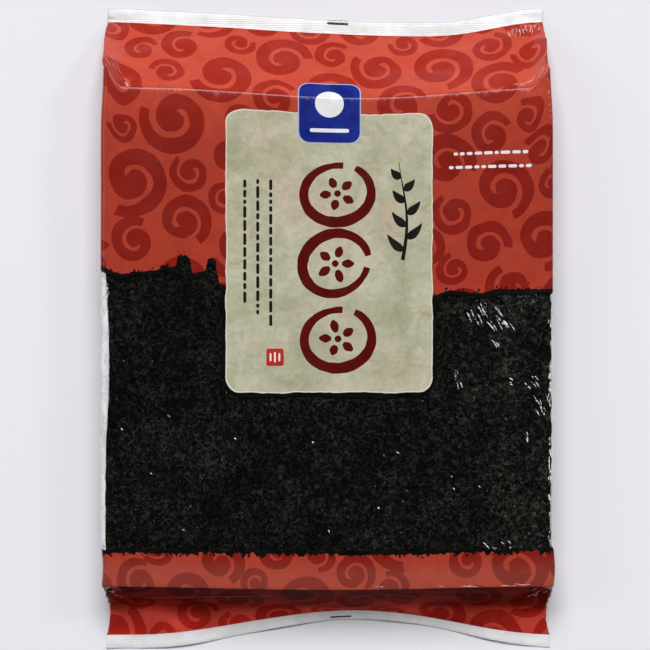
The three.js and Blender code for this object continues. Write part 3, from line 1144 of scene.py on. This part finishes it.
def plain_bag(folds, materials):
    """The printed film folded round the stack, without its wrinkles yet."""
    inks = grounds() + scrolls() + label() + drawing() + sprig() + small_print() + badge() + painted_glints()
    flat, triangles, top_inks = flat_film(inks + crease_rows() + fold_outlines(folds))
    bag = mesh_object("film_bag", bag_point(flat[:, 0], flat[:, 1]), triangles)
    mesh = bag.data
    for name in INKS:
        mesh.materials.append(materials[name])
    mesh.polygons.foreach_set("material_index", top_inks)
    add_values(mesh, "round_film", flat[:, 0])
    add_values(mesh, "along_film", flat[:, 1])
    add_layout(mesh, flat)
    weld(mesh)
    return bag


def film_bag(materials):
    folds = all_folds()
    bag = plain_bag(folds, materials)
    mesh = bag.data
    u, v = (read(mesh.attributes[name].data, "value") for name in ("round_film", "along_film"))
    points, normals = (
        read(mesh.vertices, name, 3).reshape(-1, 3).astype(float) for name in ("co", "normal")
    )
    points /= MM
    folded = fold_heights(folds, u, v)
    points += normals * (film_wrinkles(points, v) + folded)[:, None]
    points[:, 2] = np.clip(points[:, 2], 0, HEIGHT)
    mesh.vertices.foreach_set("co", (points * MM).ravel())
    add_light_values(mesh, points, v)
    corners = corner_points(mesh).reshape(-1, 3)
    mesh.polygons.foreach_set("use_smooth", (folded[corners] < FOLD_EDGE).all(1))
    mesh.update()
    return bag


def add_light_values(mesh, points, v):
    """What the film's materials have to know of each point, among it the painted light and shade."""
    add_values(mesh, "air_behind", air_behind(v))
    add_values(mesh, "haze", BOTTOM_HAZE * bottom_haze(v))
    add_values(mesh, "seal_light", np.where(v > 0, *SEAL_LIGHT))
    tint = mesh.attributes.new("tint", "FLOAT_VECTOR", "POINT")
    tint.data.foreach_set("vector", end_painted_light(points, v).ravel())


def add_values(mesh, name, values):
    """Keeps a number for each of the mesh's points."""
    mesh.attributes.new(name, "FLOAT", "POINT").data.foreach_set("value", values)


def add_layout(mesh, flat):
    """The flat film itself as the mesh's layout for textures."""
    low = np.array((-HALF_ROUND, V_BOTTOM_EDGE))
    layout = (flat[corner_points(mesh)] - low) / (2 * HALF_ROUND)
    mesh.uv_layers.new(name="OFBake").data.foreach_set("uv", layout.ravel())


def weld(mesh):
    """Joins points that lie at one place, as along the bag's seam and its cut edges."""
    work = bmesh.new()
    work.from_mesh(mesh)
    bmesh.ops.remove_doubles(work, verts=work.verts, dist=WELD_REACH * MM)
    work.to_mesh(mesh)
    work.free()


# Where the film leaves the dark stack and the painted backlight brightens the print: how far from a crease
# this starts, and over what length
TOP_OPENING = (0.6, 1.6)
BOTTOM_OPENING = (8, 16)
LIFTING = (26, 0.5)  # the painted backlight sets in a little before the top crease, where the film lifts: from how far, and how much
BOTTOM_HAZE = 0.055
HAZE_START = 9  # below the window, over which the haze sets in
END_SHADE = (0.52, 0.26, 0.22)  # painted shade: how the print's colour darkens on the steep end face, which faces away from the light
END_SHADES = (0.55, 1.3)  # of that painted shade, under the crease and at the foot
FLARE_GLOW = (1.22, 0.93, 1.1)  # painted light: how the print's colour brightens where the flare lets light through
END_SHADE_MOTTLE = 0.45  # how far the painted shade changes from place to place
SHADE_MOTTLE_STRETCH = (1, 1.7, 1)
SHADE_MOTTLE_NOISE = (13, 107)  # its cell and seed
END_STEP = 0.6  # along v, over which the painted shade sets in at the crease
FLARE_START = (3, 8)  # the same at the foot: how far before it, and over what length
SEAL_LIGHT = (0.84, 1.03)  # how pale the top and the bottom seal strip are painted, as painted light and shade: the top one, which faces the light, darker, the bottom one, in the pack's shadow, brighter
FOLD_EDGE = 0.015  # from this height on a fold's flanks are flat and sharp


def air_behind(v):
    """0 where the film lies on the dark stack, 1 where it has only air behind it: the share of painted light
    that brightens the print there, for light through the film.
    """
    length, part = LIFTING
    lifting = part * smooth_step((v - V_TOP_CREASE + length) / length)
    top = smooth_step((v - V_TOP_CREASE + TOP_OPENING[0]) / TOP_OPENING[1])
    bottom = smooth_step((V_BOTTOM_CREASE - BOTTOM_OPENING[0] - v) / BOTTOM_OPENING[1])
    return np.maximum(np.maximum(top, bottom), lifting)


def bottom_haze(v):
    """How far the print's colour is mixed towards HAZE_COLOUR between the window and the bottom crease."""
    return smooth_step((WINDOW_BOTTOM - v) / HAZE_START) * (v > V_BOTTOM_CREASE)


def end_painted_light(points, v):
    """Painted shade and light for the print's colour at the bottom end, as a factor, n x 3: darker and
    uneven on the steep end face, brighter on the flare.
    """
    past_crease = smooth_step((V_BOTTOM_CREASE + END_STEP / 2 - v) / END_STEP)[:, None]
    past_foot = smooth_step((V_BOTTOM_FOOT + FLARE_START[0] - v) / FLARE_START[1])[:, None]
    down = np.clip((V_BOTTOM_CREASE - v) / (V_BOTTOM_CREASE - V_BOTTOM_FOOT), 0, 1)[:, None]
    shade = np.array(END_SHADE) * mix(*END_SHADES, down)
    shaded = 1 + (shade - 1) * past_crease * (1 - past_foot)
    shade_mottle = 1 + END_SHADE_MOTTLE * past_crease * soft_noise(points * SHADE_MOTTLE_STRETCH, *SHADE_MOTTLE_NOISE)[:, None]
    return shaded * (1 + (np.array(FLARE_GLOW) - 1) * past_foot) * shade_mottle


# Layers of noise: height, cell and seed
WAVES = ((0.05, 34, 101),)  # all over the film
SLACK = ((0.5, 16, 102), (0.22, 6, 103))  # more, past the creases
CRUMPLED = ((0.7, 6.5, 105), (0.5, 3, 106))  # shares of a crumple's own height
CRUMPLE_FADE = 1.5  # at 1 a crumple fades from its centre on, and above 1 its core keeps its height
CRUMPLES = (  # where the film is crumpled: centre, reach and height
    ((-91, BOTTOM_CREASE - 6, 14), 15, 1.1),
    ((92, BOTTOM_CREASE - 6, 14), 16, 1.3),
    ((90, TOP_CREASE + 30, 4), 13, 0.45),
    ((-90, TOP_CREASE + 2, HEIGHT), 9, 0.15),
    ((90, TOP_CREASE + 2, HEIGHT), 9, 0.35),
)


def film_wrinkles(points, v):
    """How far the film stands out from its plain folds, in millimetres."""
    ends = np.sin(math.pi * line_share(v, "past"))
    return layered_noise(points, WAVES) + ends * layered_noise(points, SLACK) + crumple(points)


def crumple(points):
    total = np.zeros(len(points))
    for centre, reach, height in CRUMPLES:
        away = np.linalg.norm(points - centre, axis=1)
        fade = smooth_step(CRUMPLE_FADE * (1 - away / reach))
        total += height * fade * layered_noise(points, CRUMPLED)
    return total


# ---------------------------------------------------------------- the stack of sheets

STACK_SEED = 17
SHEETS = 100
BUNDLE = 10  # sheets that were laid down together
STACK_BOTTOM = 0.4
STACK_LEFT = -95.4
STACK_RIGHT = 96.7
STACK_REACH = 97.2  # what no sheet passes to either side
HOLLOW = (-14, 30, 1.7)  # in the left edge: its middle along y, half length and depth
EDGE_DROOP = (5, 0.8)  # along its sides the top sheet bends down: from how far in, and how far
STACK_LOW = -110.2
STACK_HIGH = 98
FILM_GAP = 0.75  # from the front film down to the top sheet
SHEET_THICKNESS = 0.26
SHEET_SHARE = 0.55  # how high above its groove a sheet's edge lies, of the spacing between sheets
GROOVE = 0.35  # how deep the grooves are at HALF_STACK from the middle
HALF_STACK = 95
CORNER_RADIUS = 2.2
SIDE_ROUGHNESS = 0.8  # in millimetres, of the sheets' trimmed sides
SIDE_NOISE = ((0.6, 9, 201), (0.6, 2.5, 202))  # heights, cells and seeds
SIDE_WEAR = 0.5  # how far in those sides lie on the whole, of their roughness
BUNDLE_SHIFT = 0.4  # how far a bundle lies to the side, and a sheet in it
SHEET_SHIFT = 0.18
LEFT_PART = -90  # left of this x a sheet's outline follows the hollow
EDGE_COLUMNS = 300
CAP_RINGS = 7


def sheet_outline(count, seed, roughness):
    """A hand-trimmed sheet: a rectangle with worn corners and fibrous edges."""
    centre = ((STACK_LEFT + STACK_RIGHT) / 2, (STACK_LOW + STACK_HIGH) / 2)
    size = (STACK_RIGHT - STACK_LEFT, STACK_HIGH - STACK_LOW)
    outline = rounded_box(centre, size, CORNER_RADIUS)
    outline = resample(resample(outline, 2 * sum(size) / count), count=count)
    place = with_height(outline, seed * 3.1)
    away = (outline - centre) / np.linalg.norm(outline - centre, axis=1)[:, None]
    rough = roughness * (layered_noise(place, SIDE_NOISE) - SIDE_WEAR)
    hollow = left_hollow(outline[:, 1]) * (outline[:, 0] < LEFT_PART)
    return outline + away * rough[:, None] + np.stack([hollow, np.zeros(count)], 1)


def left_hollow(y):
    return hump(y, *HOLLOW)


def stack_top(x, y):
    return HEIGHT - FILM_GAP - front_sag(x, y)


def side_rings(centre):
    """Two rings for each sheet: the groove under it and its edge."""
    rng = np.random.default_rng(STACK_SEED)
    spacing = (HEIGHT - FILM_GAP - SHEET_THICKNESS - STACK_BOTTOM) / SHEETS
    rings = []
    for sheet in range(SHEETS):
        z = STACK_BOTTOM + spacing * sheet
        if sheet % BUNDLE == 0:
            bundle = rng.normal(0, BUNDLE_SHIFT, 2)
        outline = sheet_outline(EDGE_COLUMNS, sheet + 2, SIDE_ROUGHNESS) + bundle
        outline = outline + rng.normal(0, SHEET_SHIFT, 2)
        outline[:, 0] = np.clip(outline[:, 0], -STACK_REACH, STACK_REACH)
        groove = outline + (centre - outline) * GROOVE / HALF_STACK
        rings += [with_height(groove, z), with_height(outline, z + spacing * SHEET_SHARE)]
    return rings


def cap_rings(top, centre):
    """Rings from the top one inwards, sunk as far as the front film is."""
    rings = []
    for ring in range(1, CAP_RINGS):
        flat = centre + (top[:, :2] - centre) * (1 - ring / CAP_RINGS)
        rings.append(np.column_stack([flat, top[0, 2] - front_sag(*flat.T)]))
    return rings


def sheet_stack(materials):
    """The sheets under the top one, as one solid whose sides show the edge of every sheet."""
    centre = sheet_outline(EDGE_COLUMNS, 1, 0).mean(0)
    sides = side_rings(centre)
    rings = sides + cap_rings(sides[-1], centre)
    piece = mesh_object("sheet_stack", *closed_rings(rings), smooth=False)
    piece.data.materials.append(materials["nori_edge"])
    piece.data.materials.append(materials["nori"])
    edge_faces = (len(sides) - 1) * EDGE_COLUMNS
    on_face = np.arange(len(piece.data.polygons)) >= edge_faces
    piece.data.polygons.foreach_set("material_index", on_face.astype(np.int32))
    return piece


def closed_rings(rings):
    """A closed skin through rings of as many points each, with a point closing both ends."""
    count = len(rings[0])
    points = np.vstack(rings + [rings[0].mean(0), rings[-1].mean(0)])
    faces = []
    for ring in range(len(rings) - 1):
        for k in range(count):
            a = ring * count + k
            b = ring * count + (k + 1) % count
            faces.append((a, b, b + count, a + count))
    first, last = len(points) - 2, (len(rings) - 1) * count
    for k in range(count):
        faces.append((first, (k + 1) % count, k))
        faces.append((first + 1, last + k, last + (k + 1) % count))
    return points, faces


TOP_SHEET_STEPS = (132, 146)
SIDE_FADE = 6  # how near its sides the top sheet's torn edges tell, and how near its ends
END_FADE = 12
# Layers of noise over the top sheet and along its torn edges: height, cell and seed
RELIEF = ((0.16, 14, 311), (0.12, 5, 312), (0.1, 2.6, 313))
LEFT_EDGE = ((0.5, 2.3, 301), (0.5, 9, 302))
RIGHT_EDGE = ((0.5, 2.1, 303), (0.4, 11, 304))
LOW_EDGE = ((0.5, 2.4, 305),)
HIGH_EDGE = ((0.5, 2.4, 306),)


def torn_edge(place, layers, line=0):
    """An edge along which the noise's layers are added to a line."""
    return sum((height * ragged(place, cell, seed) for height, cell, seed in layers), line)


def top_sheet(materials):
    """The sheet that shows through the window: crinkled, with fibrous edges."""
    columns, rows = TOP_SHEET_STEPS
    s, t = (a.ravel() for a in np.meshgrid(np.linspace(0, 1, columns + 1), np.linspace(0, 1, rows + 1)))
    y = mix(STACK_LOW, STACK_HIGH, t)
    x = mix(STACK_LEFT, STACK_RIGHT, s)
    left = torn_edge(y, LEFT_EDGE, left_hollow(y))
    right = torn_edge(y, RIGHT_EDGE)
    low = torn_edge(x, LOW_EDGE)
    high = torn_edge(x, HIGH_EDGE)
    x = np.clip(x + left * (1 - s) ** SIDE_FADE + right * s**SIDE_FADE, -STACK_REACH, STACK_REACH)
    y = y + low * (1 - t) ** END_FADE + high * t**END_FADE
    plan = with_height(np.column_stack([x, y]), 0.0)
    from_side = np.minimum(x - STACK_LEFT, STACK_RIGHT - x)
    relief = layered_noise(plan, RELIEF) - EDGE_DROOP[1] * smooth_step(1 - from_side / EDGE_DROOP[0])
    upper = np.column_stack([x, y, stack_top(x, y) + relief])
    under = upper - (0, 0, SHEET_THICKNESS)
    faces = sheet_faces(columns, rows)
    piece = mesh_object("top_sheet", np.vstack([upper, under]), faces)
    piece.data.materials.append(materials["nori"])
    return piece


def sheet_faces(columns, rows):
    """A closed thin sheet: its upper grid, its under grid and the edge between them."""
    across = columns + 1
    count = across * (rows + 1)
    faces = []
    for row in range(rows):
        for column in range(columns):
            a = row * across + column
            quad = (a, a + 1, a + 1 + across, a + across)
            faces.append(quad)
            faces.append(tuple(k + count for k in quad[::-1]))
    rim = list(range(across))
    rim += [row * across + columns for row in range(1, rows + 1)]
    rim += [rows * across + column for column in range(columns - 1, -1, -1)]
    rim += [row * across for row in range(rows - 1, 0, -1)]
    for a, b in zip(rim, rim[1:] + rim[:1]):
        faces.append((b, a, a + count, b + count))
    return faces


# ---------------------------------------------------------------- materials


class Nodes:
    """A new material's node tree, with short ways to add and link nodes."""

    def __init__(self, name):
        self.material = bpy.data.materials.new(name)
        self.material.use_nodes = True
        self.tree = self.material.node_tree
        self.tree.nodes.clear()
        self.output = self.add("ShaderNodeOutputMaterial")
        self.place = self.add("ShaderNodeTexCoord").outputs["Object"]

    def add(self, kind, inputs=None, **settings):
        """A new node with these settings, and with its inputs linked or set."""
        node = self.tree.nodes.new(kind)
        for name, value in settings.items():
            setattr(node, name, value)
        for name, value in (inputs or {}).items():
            self.fill(node.inputs[name], value)
        return node

    def fill(self, socket, value):
        """Links a socket, or gives it a colour or a number. None leaves it as it is."""
        if isinstance(value, bpy.types.NodeSocket):
            self.tree.links.new(value, socket)
        elif value is not None:
            socket.default_value = as_colour(value) if socket.type == "RGBA" else value

    def attribute(self, name, output="Fac"):
        return self.add("ShaderNodeAttribute", attribute_name=name).outputs[output]

    def noise(self, per_metre, detail=4, rough=0.6, stretch=(1, 1, 1), distort=0):
        place = self.add("ShaderNodeMapping", {"Scale": stretch, "Vector": self.place}).outputs["Vector"]
        values = {"Scale": per_metre, "Detail": detail, "Roughness": rough, "Distortion": distort}
        return self.add("ShaderNodeTexNoise", values | {"Vector": place}).outputs["Fac"]

    def ramp(self, source, *pairs):
        """Colours or greys by a factor: pairs of a place and a colour."""
        node = self.add("ShaderNodeValToRGB", {"Fac": source})
        elements = node.color_ramp.elements
        while len(elements) < len(pairs):
            elements.new(0.5)
        for element, (place, colour) in zip(elements, pairs):
            element.position = place
            element.color = as_colour(colour)
        return node.outputs["Color"]

    def mixed(self, factor, a, b, how="MIX"):
        inputs = {0: factor, 6: a, 7: b}  # the mix node's sockets for colours
        return self.add("ShaderNodeMix", inputs, data_type="RGBA", blend_type=how).outputs[2]

    def times(self, a, b):
        """The product of two colours."""
        return self.mixed(1.0, a, b, "MULTIPLY")

    def bump(self, height, strength, distance, after=None):
        inputs = {"Strength": strength, "Distance": distance, "Height": height, "Normal": after}
        return self.add("ShaderNodeBump", inputs).outputs["Normal"]

    def principled(self, colour, rough, normal=None, gloss=None):
        inputs = {"Base Color": colour, "Roughness": rough, "Normal": normal, "Specular IOR Level": gloss}
        return self.add("ShaderNodeBsdfPrincipled", inputs).outputs["BSDF"]

    def both(self, factor, a, b):
        """A share of shader b over shader a."""
        return self.add("ShaderNodeMixShader", {0: factor, 1: a, 2: b}).outputs["Shader"]

    def through(self, clearness):
        return self.add("ShaderNodeBsdfTransparent", {"Color": clearness}).outputs["BSDF"]

    def finish(self, shader):
        self.fill(self.output.inputs["Surface"], shader)
        return self.material


def as_colour(value):
    if isinstance(value, (int, float)):
        value = (value, value, value)
    return (*value, 1.0)


def film_relief(nodes):
    """The same fine slackness in every part of the film, printed or clear."""
    soft = nodes.bump(nodes.noise(45, 3), 0.25, 0.0012)
    return nodes.bump(nodes.noise(420, 2), 0.12, 0.0001, soft)


PRINT_GLOSS = 0.3
DULL_GLOSS = 0.004  # past the bottom crease
PRINT_ROUGH = (0.17, 0.29)  # the print's roughness changes between these
HAZE_COLOUR = (0.42, 0.43, 0.34)
FOLD_GLINT_COLOUR = (0.93, 0.92, 0.93)  # painted glints on clear film at sharp folds
CLEARNESS = 0.97  # of one film, for the light that passes it


def print_material(name, dark, light, painted_backlight_gain=1.0, gloss=PRINT_GLOSS):
    """Ink on film: a slightly uneven colour, with painted light where there is air behind the film, and
    painted shade and light at the bottom end.
    """
    nodes = Nodes(name)
    uneven = nodes.ramp(nodes.noise(160, 5), (0.3, dark), (0.7, light))
    speck = nodes.ramp(nodes.noise(2600, 2), (0.3, 0.9), (0.7, 1.06))
    colour = nodes.times(uneven, speck)
    # painted light: brighter where there is air behind the film, for light through the film
    colour = nodes.mixed(nodes.attribute("air_behind"), colour, nodes.times(colour, painted_backlight_gain))
    # painted shade and light at the bottom end
    colour = nodes.times(colour, nodes.attribute("tint", "Vector"))
    colour = nodes.mixed(nodes.attribute("haze"), colour, HAZE_COLOUR)
    rough = nodes.ramp(nodes.noise(70, 3), (0.3, PRINT_ROUGH[0]), (0.7, PRINT_ROUGH[1]))
    return nodes.finish(nodes.principled(colour, rough, film_relief(nodes), gloss))


def label_material():
    """Printed handmade paper: a grey-green ground with pale, green and pinkish clouds."""
    nodes = Nodes("label")
    clouds = nodes.ramp(
        nodes.noise(42, 6, 0.65, distort=0.8),
        (0.32, (0.36, 0.36, 0.24)),
        (0.5, (0.465, 0.445, 0.32)),
        (0.68, (0.56, 0.54, 0.425)),
    )
    pink = nodes.ramp(nodes.noise(31, 4), (0.52, 0.0), (0.7, 0.65))
    colour = nodes.mixed(pink, clouds, (0.55, 0.43, 0.33))
    mottle = nodes.ramp(nodes.noise(330, 5, 0.7, distort=0.6), (0.35, 0.88), (0.65, 1.08))
    colour = nodes.times(colour, mottle)
    fibres = nodes.ramp(nodes.noise(150, 5, 0.72, (0.5, 1.4, 1), 1.6), (0.56, 0.0), (0.7, 0.55))
    colour = nodes.mixed(fibres, colour, (0.33, 0.27, 0.15))
    return nodes.finish(nodes.principled(colour, 0.24, film_relief(nodes), PRINT_GLOSS))


FILM_IOR = 1.5
CLEAR_GLOSS = 0.16  # the most of the light that clear film throws back


def thin_gloss(nodes, behind, rough, normal):
    """A shader under the gloss of one thin clear film."""
    gloss = nodes.add("ShaderNodeBsdfGlossy", {"Roughness": rough, "Normal": normal})
    fresnel = nodes.add("ShaderNodeFresnel", {"IOR": FILM_IOR, "Normal": normal})
    least = nodes.add("ShaderNodeMath", {0: fresnel.outputs["Fac"], 1: CLEAR_GLOSS}, operation="MINIMUM")
    return nodes.both(least.outputs["Value"], behind, gloss.outputs["BSDF"])


def clear_material():
    """Clear film: what lies behind it, and a thin gloss that breaks up where the film is slack."""
    nodes = Nodes("clear_film")
    soft = nodes.bump(nodes.noise(55, 3), 0.2, 0.0020)
    slack = nodes.ramp(nodes.noise(26, 3), (0.56, 0.0), (0.7, 0.6))
    crinkles = nodes.times(nodes.noise(420, 4, 0.7, (1, 0.5, 1), 1), slack)
    fine = nodes.bump(crinkles, 0.9, 0.0008, soft)
    return nodes.finish(thin_gloss(nodes, nodes.through(CLEARNESS), 0.1, fine))


def edge_sheen_material():
    """Clear film along the long edges over the sheets' edges, with a painted pale sheen that stands in for
    the light seen through and off its rounding.
    """
    nodes = Nodes("edge_film")
    normal = nodes.bump(nodes.noise(260, 4, 0.7, (1, 0.5, 1)), 0.8, 0.0009)
    milky = nodes.principled((0.93, 0.91, 0.93), 0.35, normal)
    cloud = nodes.ramp(nodes.noise(210, 4, 0.7, (1, 0.35, 1)), (0.4, 0.3), (0.6, 0.8))
    behind = nodes.both(cloud, nodes.through(CLEARNESS), milky)
    return nodes.finish(thin_gloss(nodes, behind, 0.14, normal))


def fold_glint_material():
    """Clear film on a sharp fold with painted glints: pale broken streaks that stand in for light reflected
    off the fold.
    """
    nodes = Nodes("creased_film")
    milky = nodes.principled(FOLD_GLINT_COLOUR, 0.3)
    cloud = nodes.ramp(nodes.noise(700, 3, 0.7), (0.40, 0.0), (0.58, 0.9))
    return nodes.finish(nodes.both(cloud, nodes.through(CLEARNESS), milky))


def painted_glint_material():
    """Painted glints over the print along sharp creases: pale streaks that stand in for light reflected
    there.
    """
    nodes = Nodes("cracked_print")
    pale = nodes.ramp(nodes.noise(900, 3, 0.7), (0.38, (0.45, 0.1, 0.08)), (0.55, (0.85, 0.62, 0.58)))
    return nodes.finish(nodes.principled(pale, 0.3))


def seal_material():
    """Layers of clear film welded together: milky, with the fine ribs of the jaws."""
    nodes = Nodes("sealed_film")
    waves = {"Scale": 380, "Distortion": 0.6, "Vector": nodes.place}
    ribs = nodes.add("ShaderNodeTexWave", waves, bands_direction="Y")
    normal = nodes.bump(ribs.outputs["Fac"], 0.25, 0.0002)
    normal = nodes.bump(nodes.noise(60, 3), 0.4, 0.002, normal)
    # painted light and shade from seal_light
    pale = nodes.times((0.94, 0.93, 0.94), nodes.attribute("seal_light"))
    milky = nodes.principled(pale, 0.3, normal)
    cloud = nodes.ramp(nodes.noise(90, 3), (0.35, 0.8), (0.65, 0.97))
    return nodes.finish(nodes.both(cloud, nodes.through(0.98), milky))


def nori_material(name, dark, light):
    """Pressed seaweed: green black, felted from short fibres, with a faint satin sheen."""
    nodes = Nodes(name)
    felt = nodes.noise(560, 3, 0.62, distort=1)
    strands = nodes.noise(340, 4, 0.68, (1, 0.6, 1), 1.8)
    patches = nodes.ramp(nodes.noise(60, 4, 0.6), (0.35, 0.5), (0.65, 1.5))
    across = nodes.add("ShaderNodeSeparateXYZ", {0: nodes.place})
    paler = nodes.ramp(across.outputs["X"], (0.035, 1.0), (0.085, 1.7))
    # the pale felt and the streaks are partly the sheets' own paler fibres and partly painted sheen of the
    # fibres
    colour = nodes.ramp(felt, (0.43, dark), (0.54, light), (0.66, tuple(5 * c for c in light)))
    streak = nodes.ramp(strands, (0.56, 0.0), (0.70, 0.8))
    colour = nodes.mixed(streak, colour, tuple(4.5 * c for c in light))
    colour = nodes.times(nodes.times(colour, patches), paler)
    speck = nodes.ramp(nodes.noise(520, 1, 0.5), (0.79, 0.0), (0.82, 0.7))
    colour = nodes.mixed(speck, colour, (0.30, 0.27, 0.24))
    normal = nodes.bump(strands, 0.8, 0.0012)
    normal = nodes.bump(felt, 0.9, 0.0006, normal)
    rough = nodes.ramp(nodes.noise(130, 4), (0.35, 0.40), (0.65, 0.6))
    return nodes.finish(nodes.principled(colour, rough, normal, 0.02))


def sheet_edges_material():
    """The sheets' trimmed edges one over the other: green black with thin paler lines."""
    nodes = Nodes("nori_edge")
    lines = nodes.noise(1400, 4, 0.8, (0.03, 0.03, 1))
    colour = nodes.ramp(
        lines,
        (0.4, (0.0015, 0.0017, 0.0012)),
        (0.5, (0.016, 0.017, 0.013)),
        (0.62, (0.12, 0.122, 0.1)),
    )
    fibres = nodes.ramp(nodes.noise(900, 3, 0.7), (0.35, 0.5), (0.65, 1.6))
    colour = nodes.times(colour, fibres)
    normal = nodes.bump(lines, 0.6, 0.0008)
    return nodes.finish(nodes.principled(colour, 0.6, normal, 0.05))


RED = ((0.345, 0.037, 0.0198), (0.41, 0.045, 0.024))
SCROLL_RED = ((0.195, 0.0098, 0.0055), (0.245, 0.0126, 0.0069))
BLACK = ((0.0012, 0.0016, 0.0012), (0.004, 0.005, 0.004))
PAINTED_BACKLIGHT_RED = (1.43, 1.7, 1.79)  # painted light: how much brighter the print is painted with air behind the film, for light through it
PAINTED_BACKLIGHT_SCROLL = (1.65, 2.0, 1.94)
NORI = ((0.0008, 0.0008, 0.0006), (0.0058, 0.0057, 0.0049))
PRINTS = {  # the material's name, the ink's darkest and lightest colour, and where it matters the painted backlight gain and the gloss
    "red": ("print_red", *RED, PAINTED_BACKLIGHT_RED),
    "scroll": ("print_dark_red", *SCROLL_RED, PAINTED_BACKLIGHT_SCROLL),
    "end_red": ("end_red", *RED, PAINTED_BACKLIGHT_RED, DULL_GLOSS),
    "end_scroll": ("end_dark_red", *SCROLL_RED, PAINTED_BACKLIGHT_SCROLL, DULL_GLOSS),
    "band": ("print_band", *BLACK),
    "flake": ("print_flake", *BLACK),
    "shade": ("print_shade", 0.001, 0.003),
    "rim": ("print_rim", (0.62, 0.60, 0.48), (0.72, 0.70, 0.60)),
    "badge_rim": ("print_pale_blue", (0.35, 0.36, 0.55), (0.45, 0.46, 0.65)),
    "badge": ("print_blue", (0.005, 0.013, 0.16), (0.013, 0.028, 0.27)),
    "white": ("print_white", (0.72, 0.72, 0.74), (0.82, 0.82, 0.84)),
    "maroon": ("print_maroon", (0.075, 0.002, 0.002), (0.10, 0.004, 0.003)),
    "black": ("print_black", (0.008, 0.006, 0.006), (0.014, 0.011, 0.010)),
    "stamp": ("print_stamp", (0.42, 0.02, 0.012), (0.5, 0.03, 0.018)),
    "mark": ("print_mark", 0.010, 0.016),
}


def all_materials():
    return {ink: print_material(*look) for ink, look in PRINTS.items()} | {
        "clear": clear_material(),
        "edge_film": edge_sheen_material(),
        "creased": fold_glint_material(),
        "crack": painted_glint_material(),
        "seal": seal_material(),
        "label": label_material(),
        "nori": nori_material("nori", *NORI),
        "nori_edge": sheet_edges_material(),
    }


# ---------------------------------------------------------------- camera, floor and light

CAMERA_DISTANCE = 950  # from the front film
CAMERA_OFFSET = (-0.8, 1.5)  # of the camera from the pack's middle, along x and y
SENSOR = 36
IMAGE_WIDTH = 650  # in pixels
FRONT_PIXELS_PER_MM = 2.32
FLOOR_REACH = 2000
FLOOR_Z = -0.1
FLOOR_COLOURS = ((0.80, 0.80, 0.845), (0.82, 0.82, 0.865))
WORLD_COLOUR = (0.95, 0.96, 1.0)
WORLD_STRENGTH = 0.035
# Soft boxes that look at the pack: name, azimuth from the side of the pack's top end and elevation
# in degrees, distance and size in metres, and power in watts
LIGHTS = (
    ("key", 0, 54, 6, (3.9, 2.7), 382),
    ("front", 180, 30, 4, (2.5, 1.5), 16),
    ("left", -80, 40, 4, (1.8, 1.8), 16),
    ("right", 60, 40, 4, (0.8, 0.8), 18),
)


def add_camera():
    data = bpy.data.cameras.new("camera")
    data.sensor_width = SENSOR
    data.lens = SENSOR * FRONT_PIXELS_PER_MM * CAMERA_DISTANCE / IMAGE_WIDTH
    camera = bpy.data.objects.new("camera", data)
    camera.location = Vector((*CAMERA_OFFSET, HEIGHT + CAMERA_DISTANCE)) * MM
    bpy.context.scene.collection.objects.link(camera)
    bpy.context.scene.camera = camera


def add_light(name, azimuth, elevation, distance, size, power):
    data = bpy.data.lights.new(name, "AREA")
    data.shape = "RECTANGLE"
    data.size, data.size_y = size
    data.energy = power
    light = bpy.data.objects.new(name, data)
    azimuth, elevation = math.radians(azimuth), math.radians(elevation)
    level_part = math.cos(elevation)
    way = (math.sin(azimuth) * level_part, math.cos(azimuth) * level_part, math.sin(elevation))
    light.location = distance * Vector(way)
    light.rotation_euler = (-light.location).to_track_quat("-Z", "Y").to_euler()
    bpy.context.scene.collection.objects.link(light)


def add_studio():
    world = bpy.data.worlds.new("studio")
    world.use_nodes = True
    background = world.node_tree.nodes["Background"]
    background.inputs["Color"].default_value = as_colour(WORLD_COLOUR)
    background.inputs["Strength"].default_value = WORLD_STRENGTH
    bpy.context.scene.world = world
    bpy.context.scene.view_settings.view_transform = "Standard"
    for light in LIGHTS:
        add_light(*light)
    add_floor()


def add_floor():
    corners = np.array([(-1, -1), (1, -1), (1, 1), (-1, 1)]) * FLOOR_REACH
    floor = mesh_object("floor", with_height(corners, FLOOR_Z), [(0, 1, 2, 3)])
    nodes = Nodes("floor")
    paper = nodes.ramp(nodes.noise(3, 2), (0.3, FLOOR_COLOURS[0]), (0.7, FLOOR_COLOURS[1]))
    floor.data.materials.append(nodes.finish(nodes.principled(paper, 0.9)))
    floor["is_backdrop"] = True


add_camera()
MATERIALS = all_materials()
bag = film_bag(MATERIALS)
stack = sheet_stack(MATERIALS)
sheet = top_sheet(MATERIALS)
for piece, slot in ((bag, "printed_film"), (stack, "nori"), (sheet, "nori")):
    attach(piece, "root")
    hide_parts("nori_pack")
add_studio()

visual_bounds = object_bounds()
boxes = {"cad": CAD_BOUNDS, "visual": visual_bounds}
{name: [list(corner) for corner in box] for name, box in boxes.items()}
